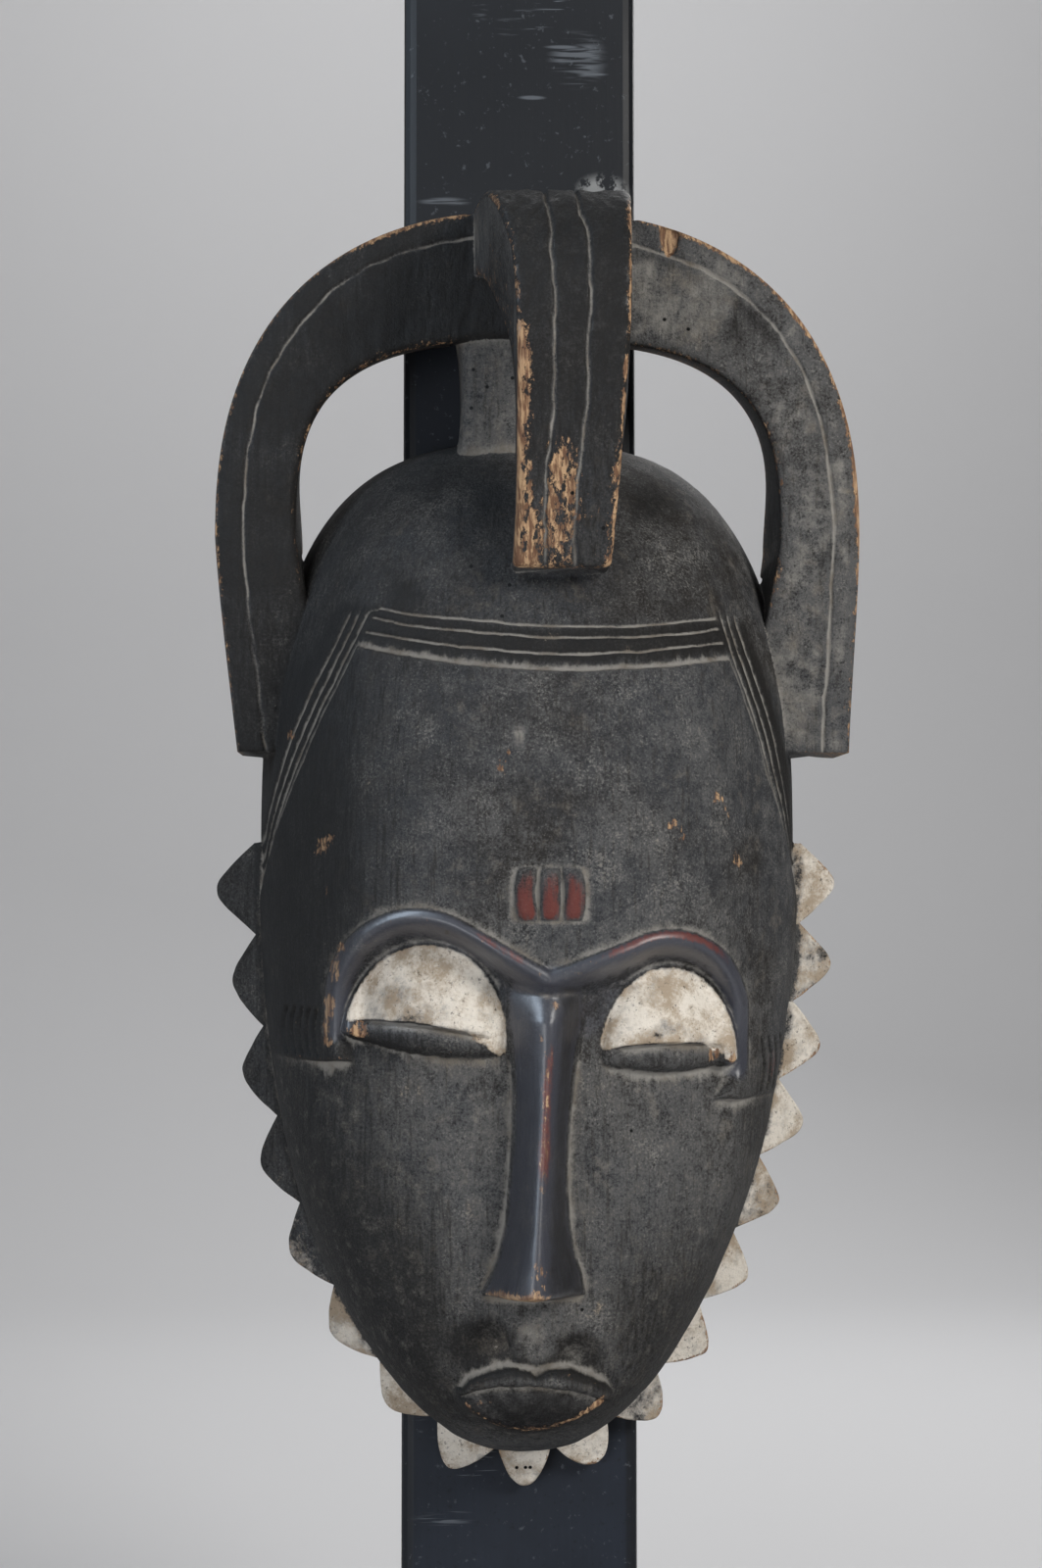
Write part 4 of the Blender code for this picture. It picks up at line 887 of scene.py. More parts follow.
def arch_path():
    """Outer and inner edges of the arches from the left foot over the top to the right foot.

    Over the springing height both edges are superellipses. Below it they run straight down, tapering.
    """
    angle = np.linspace(math.pi, 0.0, ARCH_STATIONS)
    swing, lift = np.cos(angle), np.clip(np.sin(angle), 0.0, 1.0)
    outer_x = ARCH_HALF_WIDTH * signed_power(swing, 2.0 / ARCH_FULLNESS)
    outer_z = ARCH_SPRING_Z + ARCH_RISE * lift ** (2.0 / ARCH_FULLNESS)
    inner_x = HOLE_HALF_WIDTH * signed_power(swing, 2.0 / HOLE_FULLNESS)
    inner_z = ARCH_SPRING_Z + HOLE_RISE * lift ** (2.0 / HOLE_FULLNESS)
    foot = np.linspace(ARCH_FOOT_Z, ARCH_SPRING_Z, ARCH_FOOT_STATIONS)[:-1]
    share = ((ARCH_SPRING_Z - foot) / (ARCH_SPRING_Z - ARCH_FOOT_Z)) ** ARCH_TAPER_POWER
    inset = HOLE_HALF_WIDTH - (HOLE_HALF_WIDTH - ARCH_INSET_IN_HEAD) * np.clip(share * 2.0, 0.0, 1.0)
    left = np.column_stack([-ARCH_HALF_WIDTH + LEFT_ARCH_TAPER * share, foot, -inset, foot])
    right = np.column_stack([ARCH_HALF_WIDTH - RIGHT_ARCH_TAPER * share, foot, inset, foot])[::-1]
    return np.vstack([left, np.column_stack([outer_x, outer_z, inner_x, inner_z]), right])


def make_arches():
    """Both side arches: a plate with rolled edges, an incised line along its outer edge, chips and wear.

    A ring starts at the outer back edge, goes round the outer roll, across the front, round the inner roll
    and along the back. Places across are the sum of a fixed part and a share of the plate's width.
    """
    path = arch_path()
    outer, inner = path[:, :2], path[:, 2:]
    width = np.linalg.norm(inner - outer, axis=1)[:, None]
    toward = (inner - outer) / width
    deeper = (ARCH_DEPTH - ARCH_FOOT_DEPTH) * soft_step(outer[:, 1], ARCH_FOOT_Z, ARCH_SPRING_Z)
    front = (ARCH_FOOT_DEPTH + deeper)[:, None]
    lift = soft_step(inner[:, 1], ARCH_SPRING_Z, ARCH_SPRING_Z + HOLE_RISE)[:, None]
    side = np.linspace(0.0, 1.0, 12)[None, :-1]
    turn = np.linspace(0.0, math.pi / 2, 7)[None, :]
    flat = np.linspace(0.0, 1.0, round(64 * FINENESS))[None, 1:-1]
    ones = np.ones_like(width)
    across = np.hstack([
        0.0 * side * ones,
        ARCH_EDGE * (1.0 - np.cos(turn)) * ones,
        ARCH_EDGE + (width - ARCH_EDGE - HOLE_EDGE) * flat,
        width - HOLE_EDGE * (1.0 - np.sin(turn)),
        width - HOLE_BACK_RISE * lift * side[:, 1:],
        (width - HOLE_BACK_RISE * lift) * (1.0 - side),
    ])
    depth = np.hstack([
        ARCH_BACK + (front - ARCH_EDGE - ARCH_BACK) * side,
        front - ARCH_EDGE * (1.0 - np.sin(turn)),
        front + 0.0 * flat,
        front - HOLE_EDGE * (1.0 - np.cos(turn)),
        front - HOLE_EDGE - (front - HOLE_EDGE - ARCH_BACK) * side[:, 1:],
        ARCH_BACK + 0.0 * side * ones,
    ])
    run = run_along(outer)[:, None] + 0.0 * across
    on_front = soft_step(depth, front - 2.0, front - 0.5)
    x = outer[:, :1] + toward[:, :1] * across
    z = outer[:, 1:] + toward[:, 1:] * across
    inset = ARCH_LINE_INSET + 0.7 * ripple(run, 24.0, 51) + 0.3 * ripple(run, 5.0, 52)
    line = bell(across - inset, ARCH_LINE_HALF_WIDTH)
    broken = 0.55 + 0.45 * soft_step(ripple(run, 9.0, 53), -0.6, 0.0)
    lines = line * broken * on_front
    band = fade(across, 0.0, ARCH_LINE_INSET)
    notch = np.clip(1.8 * patch(x, z, *ARCH_NOTCH), 0.0, 1.0)
    crack = bell(z - ARCH_CRACK[1] + 0.15 * (x - ARCH_CRACK[0]), 0.55) * soft_step(x, 92.6, 93.8)
    marks = tool_marks(across, run, 55) + 0.10 * mottle(across * 0.3 + run, across * 0.12, 1.9, 59)
    cut = ARCH_LINE_DEPTH * lines + 0.9 * band - 1.3 * marks + 1.6 * notch + 0.8 * crack
    depth = depth - on_front * cut
    edge = bell(across - 0.6, 2.6) * soft_step(depth, front - ARCH_EDGE - 2.0, front - ARCH_EDGE)
    patchy = soft_step(mottle(run, across * 0.6, 14.0, 57) + 0.4 * mottle(run, across, 4.0, 58), -0.4, 0.6)
    right = soft_step(x, 10.0, 30.0)
    rubbed = 0.72 * soft_step(x, 32.0, 44.0) * soft_step(z, 55.0, 85.0)
    rubbed = rubbed + 0.62 * window(x, -70.0, -56.0, -26.0, -16.0) * soft_step(z, 140.0, 155.0)
    bare = edge * (0.12 + rubbed) * (0.45 + 0.55 * patchy) + 1.2 * notch * on_front
    inner_edge = bell(across - width + 1.0, 2.0) * soft_step(x, 62.0, 72.0)
    bare = np.maximum(bare, 0.42 * inner_edge * patchy * on_front)
    # Dust in the incised line, and paler wood over the right arch
    dust = 0.62 * lines * (0.55 + 0.45 * patchy) + (0.5 * right + 0.08) * on_front * (0.6 + 0.6 * patchy)
    # Painted shade on the inner walls of the holes
    inner_wall = soft_step(across - width, -HOLE_BACK_RISE - 2.0, -1.0) * (1.0 - on_front)
    # Darker over the left arch, and painted shade in the crack
    soot = 0.85 * inner_wall + (0.82 + 0.25 * patchy) * (1.0 - right) * on_front * (1.0 - lines) + crack
    # A darker patch high on the right arch, and a painted shadow beside the incised line
    patch_and_line_shadow = 0.5 * patch(x, z, 62.0, 140.0, 20.0, 14.0) + 0.4 * bell(across - inset - 3.0, 3.0)
    soot = soot + right * on_front * patch_and_line_shadow
    return loft("arches", x, depth, z, plain_finish(x, bare=bare, dust=dust, soot=soot))


def make_neck():
    """The block between crown and arches, a little narrower at half its height, with rounded corners."""
    z = np.linspace(NECK_BOTTOM_Z, NECK_TOP_Z, round(80 * FINENESS))[:, None]
    away = (z - (NECK_BOTTOM_Z + NECK_TOP_Z) / 2) / ((NECK_TOP_Z - NECK_BOTTOM_Z) / 2)
    half = NECK_HALF_WIDTH + NECK_FLARE * away**2
    turn = np.linspace(0.0, 2.0 * math.pi, round(160 * FINENESS), endpoint=False)[None, :]
    middle = (ARCH_BACK + NECK_DEPTH) / 2
    reach = (NECK_DEPTH - ARCH_BACK) / 2
    x = half * signed_power(np.cos(turn), NECK_CORNERS)
    h = middle + reach * signed_power(np.sin(turn), NECK_CORNERS) + 0.0 * z
    z = z + 0.0 * x
    h = h + soft_step(h, middle, NECK_DEPTH) * tool_marks(x, z, 61)
    # The neck's dust is partly painted light: raised so the neck stays pale in the tongue's shadow
    return loft("neck", x, h, z, plain_finish(x, dust=0.55 + 0.4 * fade(z, 98.0, 106.0)))


def make_tongue():
    """The band that leaves the top of the arches, curls forward and comes down onto the crown.

    Rings run along two smooth curves, the band's outer and inner side. Two wandering grooves are cut
    along the outer side, its edges are rolled, and its last rings draw in to round the end.
    """
    outer = smooth_line(TONGUE_OUTER, TONGUE_STEPS)
    inner = smooth_line(TONGUE_INNER, TONGUE_STEPS)
    places = np.transpose([TONGUE_LEFT, TONGUE_RIGHT, TONGUE_FIRST_GROOVE, TONGUE_SECOND_GROOVE])
    left, right, first, second = smooth_line(places, TONGUE_STEPS).T[..., None]
    run = run_along(outer)[:, None]
    end = np.clip((run - run[-1] + TONGUE_END) / TONGUE_END, 0.0, 1.0)
    draw_in = TONGUE_END * (1.0 - np.sqrt(1.0 - 0.96 * end**2))
    left, right = left + draw_in, right - draw_in
    thick = np.linalg.norm(inner - outer, axis=1)[:, None]
    down = (inner - outer) / thick
    turn = np.linspace(0.0, math.pi / 2, 7)[None, :]
    side = np.linspace(0.0, 1.0, round(26 * FINENESS))[None, 1:-1]
    flat = np.linspace(0.0, 1.0, TONGUE_COLUMNS)[None, 1:-1]
    back = np.linspace(0.0, 1.0, 16)[None, :]
    edge = TONGUE_EDGE
    ones = np.ones_like(thick)
    x = np.hstack([
        left + edge * (1.0 - np.cos(turn)),
        left + edge + (right - left - 2 * edge) * flat,
        right - edge * (1.0 - np.sin(turn)),
        right + 0.0 * side,
        right - (right - left) * back,
        left + 0.0 * side,
    ])
    below = np.hstack([
        edge * (1.0 - np.sin(turn)) * ones,
        0.0 * flat * ones,
        edge * (1.0 - np.cos(turn)) * ones,
        edge + (thick - edge) * side,
        thick + 0.0 * back,
        thick - (thick - edge) * side,
    ])
    below = below + draw_in * (1.0 - below / thick)
    along = run + 0.0 * x
    on_top = fade(below, edge * 0.6, edge * 1.2)
    wander = 0.5 * ripple(along, 12.0, 81) + 0.25 * ripple(along, 3.0, 82)
    grooves = np.zeros(x.shape)
    for groove, seed in ((first, 83), (second, 84)):
        shift = wander + 0.4 * ripple(along, 7.0, seed)
        grooves = np.maximum(grooves, bell(x - groove - shift, TONGUE_GROOVE_HALF_WIDTH))
    grooves = grooves * on_top
    hatch = 0.22 * mottle(x + 0.6 * along, along * 0.25, 1.6, 85)
    hatch = hatch + 0.16 * mottle(x - 0.5 * along, along * 0.2, 1.9, 86)
    below = below + TONGUE_GROOVE_DEPTH * grooves - on_top * (hatch + tool_marks(x, along, 87))
    h = outer[:, :1] + down[:, :1] * below
    z = outer[:, 1:] + down[:, 1:] * below
    at_edge = bell(np.minimum(x - left, right - x), 2.6) * on_top
    flecks = soft_step(mottle(x * 1.4, along * 0.3, 2.2, 88) + 0.5 * mottle(x, along, 6.0, 89), 0.0, 0.5)
    low = soft_step(along, run[-1] - 62.0, run[-1] - 18.0)
    left_strip = bell(x - left - 2.0, 4.0) * (z < 128.0) * (h > 85.0)
    middle = 1.3 * patch(x, z, 4.5, 79.0, 7.5, 26.0) + 0.9 * patch(x, z, -4.0, 66.0, 8.0, 14.0)
    clusters = np.clip(1.3 * left_strip + middle + 0.35 * low, 0.0, 1.0)
    bare = on_top * (0.66 * clusters + 0.35 * flecks * clusters + 0.4 * at_edge + 0.4 * at_edge * flecks)
    bare = np.maximum(bare, on_top * patch(x, z, -7.0, 60.0, 3.5, 4.0))
    left_wall = (1.0 - on_top) * (x < left + 1.0) * (below < thick - 0.5)
    gouge = patch(h, z, 86.0, 118.0, 12.0, 26.0) * left_wall
    bare = np.maximum(bare, 0.35 * gouge * flecks)
    dust = np.maximum(0.66 * grooves * (0.65 + 0.35 * flecks), left_wall * (0.4 + 0.3 * flecks))
    dust = dust + 0.12 * low * on_top
    polish = 0.35 * on_top * (1.0 - grooves) * (1.0 - low)
    red = 0.4 * left_strip * on_top * window(along, 50.0, 70.0, 95.0, 130.0)
    soot = on_top * (1.0 - 0.35 * low) * (1.0 - grooves) + 0.15 * (1.0 - on_top) * (1.0 - left_wall)
    finish = plain_finish(x, bare=bare, dust=dust, polish=polish, soot=soot, red=red)
    return loft("tongue", x, h, z, finish)


def rim_line():
    """Points of the head's outline on its flat back, from the left ear round the chin to the right ear."""
    z = CHIN_Z + (COLLAR_START_Z - CHIN_Z) * (0.5 - 0.5 * np.cos(np.linspace(0.0, math.pi, 260)))
    half = head_half_width(z)
    left = np.column_stack([head_axis(z) - half, z])[::-1]
    right = np.column_stack([head_axis(z) + half, z])[1:]
    return np.vstack([left, right])


def make_collar():
    """The collar of blunt teeth with straight sides and rounded tips, thickest where it leaves the head."""
    rim = rim_line()
    tangent = np.gradient(rim, axis=0)
    tangent = tangent / np.linalg.norm(tangent, axis=1)[:, None]
    outward = np.column_stack([tangent[:, 1], -tangent[:, 0]])
    tip_line = rim + outward * (COLLAR_ROOT + sum(TOOTH_HEIGHTS) / len(TOOTH_HEIGHTS))
    run = run_along(tip_line)
    pitches = np.array(TOOTH_PITCHES)
    tips = pitches[0] / 2 + np.concatenate([[0.0], np.cumsum(pitches)])
    edges = np.concatenate([[0.0], (tips[:-1] + tips[1:]) / 2, [tips[-1] + pitches[-1] / 2]])
    share = np.arange(COLLAR_STEPS) / COLLAR_STEPS
    places = np.append((edges[:-1, None] + np.diff(edges)[:, None] * share[None, :]).ravel(), edges[-1])
    places = places * run[-1] / edges[-1]
    shares = np.append(np.tile(share, len(tips)), 1.0)[:, None]
    heights = np.append(np.repeat(TOOTH_HEIGHTS, COLLAR_STEPS), TOOTH_HEIGHTS[-1])[:, None]
    numbers = np.append(np.repeat(np.arange(len(tips)), COLLAR_STEPS), len(tips) - 1)[:, None]
    base_x, base_z, out_x, out_z = (np.interp(places, run, v)[:, None] for v in (*rim.T, *outward.T))
    away = np.abs(shares - 0.5) * 2.0
    point = pointed(away, np.array(TOOTH_BLUNTNESS)[numbers])
    reach = COLLAR_ROOT + heights * point + 0.25 * mottle(places[:, None], shares, 3.0, 91)
    front = COLLAR_ROOT_DEPTH + (COLLAR_TIP_DEPTH - COLLAR_ROOT_DEPTH) * point
    turn = np.linspace(math.pi / 2, 0.0, 6)[None, :]
    face = np.linspace(0.0, 1.0, round(26 * FINENESS))[None, :-1]
    back = np.linspace(0.0, 1.0, 8)[None, :]
    inside = -COLLAR_INSET + 0.0 * reach
    out = np.hstack([
        inside, inside, 0.0 * reach + (reach - COLLAR_EDGE) * face,
        reach - COLLAR_EDGE + COLLAR_EDGE * np.cos(turn),
        reach + 0.0 * back,
    ])
    h = np.hstack([
        COLLAR_BACK + 0.0 * reach, COLLAR_ROOT_DEPTH + 0.0 * reach,
        COLLAR_ROOT_DEPTH + (front - COLLAR_ROOT_DEPTH) * face,
        front - COLLAR_EDGE + COLLAR_EDGE * np.sin(turn),
        front - COLLAR_EDGE - (front - COLLAR_EDGE - COLLAR_BACK) * back,
    ])
    x = base_x + out_x * out
    z = base_z + out_z * out
    on_face = soft_step(out, 0.0, 1.5) * soft_step(h, 3.0, 5.0)
    h = h + on_face * (0.35 * mottle(x, z, 4.0, 92) + 0.15 * mottle(x, z, 1.3, 93))
    left_upper = fade(numbers, 2.5, 6.0)
    kaolin = (0.86 - 0.75 * left_upper + 0.0 * x) * soft_step(h, 0.5, 2.0)
    kaolin = kaolin * (1.0 - 0.3 * (numbers % 3 == 1) * (numbers > 8)) - 0.45 * bell(out - 0.5, 3.0)
    tip_wear = soft_step(out, reach - 2.6, reach - 0.4) * on_face
    worn = 0.2 + 0.4 * soft_step(mottle(places[:, None], out, 6.0, 94), 0.0, 0.6)
    bare = tip_wear * worn * (1.0 - 0.6 * left_upper)
    dust = 0.2 + 0.2 * bell(out - 0.5, 3.0)
    soot = 0.5 * left_upper + 0.5 * bell(out - 0.3, 2.5)
    finish = plain_finish(x, kaolin=kaolin, bare=bare, dust=dust, soot=soot)
    return loft("collar", x, h, z, finish)


def applied(body):
    """The mesh of a body with its modifiers applied."""
    depsgraph = bpy.context.evaluated_depsgraph_get()
    return bpy.data.meshes.new_from_object(body.evaluated_get(depsgraph))


def join_surfaces(body, tools, cut):
    """The mesh of the body with the tools joined to it and the cut taken out of it."""
    for tool, operation in [(tool, "UNION") for tool in tools] + [(cut, "DIFFERENCE")]:
        modifier = body.modifiers.new(tool.name, "BOOLEAN")
        modifier.solver = "MANIFOLD"
        modifier.operation = operation
        modifier.object = tool
    mesh = applied(body)
    for piece in [body, cut, *tools]:
        bpy.data.objects.remove(piece, do_unlink=True)
    return mesh


# Smoothing: steps in all, steps in which the softened band round a seam widens, the step that says how far
# the band's points move, and how much of that they move
SMOOTHING_STEPS = 24
SEAM_STEPS = 5
SOFTENING_STEP = 9
SEAM_SOFTNESS = 0.8


def read_points(mesh):
    """Places and outward directions of a mesh's points, and its edges, as arrays."""
    arrays = []
    for items, name, width, kind in (
        (mesh.vertices, "co", 3, float),
        (mesh.vertex_normals, "vector", 3, float),
        (mesh.edges, "vertices", 2, np.int32),
    ):
        values = np.zeros(len(items) * width, dtype=kind)
        items.foreach_get(name, values)
        arrays.append(values.reshape(-1, width))
    return arrays


def neighbour_mean(values, edges, weights=None):
    """Mean of each point's neighbours along the edges, each counted with its weight."""
    count = len(values)
    weights = np.ones(count) if weights is None else weights
    first, second = edges[:, 0], edges[:, 1]

    def gathered(amounts):
        """The sum of the amounts of each point's neighbours."""
        return np.bincount(first, amounts[second], count) + np.bincount(second, amounts[first], count)

    total = gathered(weights)
    sums = np.column_stack([gathered(column * weights) for column in values.reshape(count, -1).T])
    return (sums / np.maximum(total, 1e-9)[:, None]).reshape(values.shape), total


def relaxed(values, edges):
    """Each point's value, moved halfway to the mean of its neighbours."""
    return 0.5 * values + 0.5 * neighbour_mean(values, edges)[0]


def read_layer(mesh, name):
    """One layer of finish of a mesh as an array."""
    values = np.zeros(len(mesh.vertices), dtype=np.float32)
    mesh.attributes[name].data.foreach_get("value", values)
    return values.astype(float)


def write_layer(mesh, name, values):
    """Stores one layer of finish on a mesh's points."""
    attribute = mesh.attributes.get(name) or mesh.attributes.new(name, "FLOAT", "POINT")
    attribute.data.foreach_set("value", values.astype(np.float32))


def settle_surface(mesh):
    """Softens the seams between the joined surfaces and works out where dust gathers and edges wear.

    Points made by the joining take the finish of their neighbours. The surface is smoothed step by step, and
    how far each point ends in front of or behind where it began says how hollow or how sharp it is there.
    """
    places, directions, edges = read_points(mesh)
    known = read_layer(mesh, "carved")
    seam = 1.0 - known
    for name in LAYERS:
        values, sure = read_layer(mesh, name), known.copy()
        for _ in range(3):
            mean, total = neighbour_mean(values, edges, sure)
            fill = (sure < 0.5) & (total > 0.0)
            values = np.where(fill, mean, values)
            sure = np.where(fill, 1.0, sure)
        write_layer(mesh, name, values)
    smooth = places.copy()
    band = seam.copy()
    softened = places
    for step in range(SMOOTHING_STEPS):
        smooth = relaxed(smooth, edges)
        if step < SEAM_STEPS:
            mean, _ = neighbour_mean(band, edges)
            band = np.maximum(band, np.clip(mean * 2.0, 0.0, 1.0))
        if step == SOFTENING_STEP:
            softened = places + (smooth - places) * (SEAM_SOFTNESS * band)[:, None]
    hollow = np.einsum("ij,ij->i", smooth - places, directions) / UNIT
    hollow = relaxed(relaxed(hollow, edges), edges)
    write_layer(mesh, "hollow", np.clip(hollow, -1.0, 1.0))
    mesh.vertices.foreach_set("co", softened.ravel())
    mesh.update()


def thinned(mesh, most):
    """The same mesh with at most the given number of triangles, coarser where the wood is plain."""
    body = placed("mask", mesh)
    mesh.calc_loop_triangles()
    modifier = body.modifiers.new("thin out", "DECIMATE")
    modifier.ratio = min(1.0, most / len(mesh.loop_triangles))
    result = applied(body)
    bpy.data.objects.remove(body, do_unlink=True)
    bpy.data.meshes.remove(mesh)
    return result


def make_mask(material):
    """The carved mask: one body with its hollow, its seams softened and its finish on its points."""
    head = domed_body("head", head_surface(*HEAD_GRID), CHIN_Z, CROWN_Z, 0.0)
    hollow = domed_body("hollow", hollow_surface(*HOLLOW_GRID), *hollow_ends(), HOLLOW_OVERCUT)
    mesh = join_surfaces(head, [make_collar(), make_neck(), make_arches(), make_tongue()], hollow)
    settle_surface(mesh)
    mesh = thinned(mesh, MOST_TRIANGLES)
    mesh.name = "mask"
    mesh.materials.clear()
    mesh.materials.append(material)
    mesh.shade_smooth()
    mask = placed("carved_mask", mesh)
    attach(mask, "root")
    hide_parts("mask")


class Finish:
    """A node material that is put together step by step. Each method adds nodes and returns their output."""

    def __init__(self, name):
        self.material = bpy.data.materials.new(name)
        self.material.use_nodes = True
        self.tree = self.material.node_tree
        self.shader = self.tree.nodes["Principled BSDF"]
        self.object_place = self.add("TexCoord").outputs["Object"]

    def put(self, socket, value):
        if isinstance(value, bpy.types.NodeSocket):
            self.tree.links.new(value, socket)
        else:
            socket.default_value = value

    def add(self, kind, **inputs):
        node = self.tree.nodes.new("ShaderNode" + kind)
        for name, value in inputs.items():
            self.put(node.inputs[name.replace("_", " ")], value)
        return node

    def layer(self, name):
        node = self.add("Attribute")
        node.attribute_name = name
        return node.outputs["Fac"]

    def stretched(self, *scale):
        return self.add("Mapping", Vector=self.object_place, Scale=scale).outputs["Vector"]

    def noise(self, scale, detail, roughness, place=None, distortion=0.0):
        look = dict(Scale=scale, Detail=detail, Roughness=roughness, Distortion=distortion)
        return self.add("TexNoise", Vector=place or self.object_place, **look).outputs["Fac"]

    def math(self, operation, first, second=0.0, clamp=False):
        node = self.add("Math")
        node.operation = operation
        node.use_clamp = clamp
        self.put(node.inputs[0], first)
        self.put(node.inputs[1], second)
        return node.outputs[0]

    def times(self, first, second):
        return self.math("MULTIPLY", first, second)

    def most(self, first, second):
        return self.math("MAXIMUM", first, second)

    def total(self, first, *others):
        for other in others:
            first = self.math("ADD", first, other)
        return first

    def ramp(self, value, low, high, to_low=0.0, to_high=1.0):
        node = self.add("MapRange", From_Min=low, From_Max=high, To_Min=to_low, To_Max=to_high)
        node.interpolation_type = "SMOOTHSTEP"
        self.put(node.inputs["Value"], value)
        return node.outputs["Result"]

    def mix(self, share, first, second):
        node = self.add("Mix")
        node.data_type = "RGBA"
        self.put(node.inputs["Factor"], share)
        for socket, color in zip((s for s in node.inputs if s.type == "RGBA"), (first, second)):
            self.put(socket, color if isinstance(color, bpy.types.NodeSocket) else (*color, 1.0))
        return next(s for s in node.outputs if s.type == "RGBA")

    def lay(self, color, new, amount, low, high, share=1.0):
        """The new colour over the old one, from none where the amount is low to its share where high."""
        return self.mix(self.ramp(amount, low, high, 0.0, share), color, new)

    def distance(self, point, place):
        node = self.add("VectorMath")
        node.operation = "DISTANCE"
        self.put(node.inputs[0], place)
        node.inputs[1].default_value = point
        return node.outputs["Value"]

    def oval(self, x, z, half_width, half_height):
        """A patch on the front: 1 in the middle and 0 at its rim, whatever the depth."""
        scale = (1.0 / half_width, 0.0, 1.0 / half_height)
        shift = (-x / half_width, 0.0, -z / half_height)
        place = self.add("Mapping", Vector=self.object_place, Scale=scale, Location=shift).outputs["Vector"]
        return self.ramp(self.distance((0.0, 0.0, 0.0), place), 1.0, 0.4)

    def bump(self, height, distance, strength):
        return self.add("Bump", Strength=strength, Distance=distance, Height=height).outputs["Normal"]


# Worm holes: x, h and z of each, in carving units
WORM_HOLES = (
    (-28.6, 95.0, -46.7), (25.1, 95.0, -104.5), (10.7, 95.0, -155.9), (-26.2, 95.0, -176.7),
    (-21.5, 85.0, 60.6), (-10.3, 85.0, 54.6), (-12.6, 85.0, 45.1), (-20.3, 45.0, 126.7), (-16.0, 45.0, 121.3),
    (-20.9, 45.0, 114.8), (-8.2, 45.0, 124.1), (-5.7, 45.0, 127.2), (39.0, 45.0, 142.5), (46.4, 45.0, 139.5),
    (7.2, 102.0, 79.1), (16.2, 102.0, 69.3), (-5.7, 9.0, -217.8), (-2.9, 9.0, -217.8), (-1.4, 9.0, -217.8),
)
WORM_HOLE_RADIUS = 0.00055
HOLE_FLATTENING = 0.03
# Near-black painted shade of the worm holes
WORM_HOLE_SHADE = (0.003, 0.003, 0.003)

# Colours of the mask's finish
WOOD_BROWN = (0.020, 0.0175, 0.0155)
WOOD_BLUE = (0.034, 0.036, 0.040)
FILM_GREY = (0.088, 0.088, 0.088)
DUST = (0.262, 0.25, 0.228)
WARM_DUST = (0.165, 0.145, 0.120)
# Slate of polished wood, lifted and tinted blue partly as painted sheen
POLISHED_AND_SHEEN = (0.038, 0.041, 0.056)
RED_PIGMENT = (0.135, 0.032, 0.025)
BARE_WOOD = (0.50, 0.33, 0.19)
BARE_DARK = (0.16, 0.085, 0.05)
KAOLIN = (0.72, 0.67, 0.595)
KAOLIN_STAIN = (0.34, 0.265, 0.185)
KAOLIN_THIN = (0.30, 0.285, 0.265)
# Near-black of soot, also used for painted shade
SOOT_AND_SHADE = (0.008, 0.0072, 0.0065)


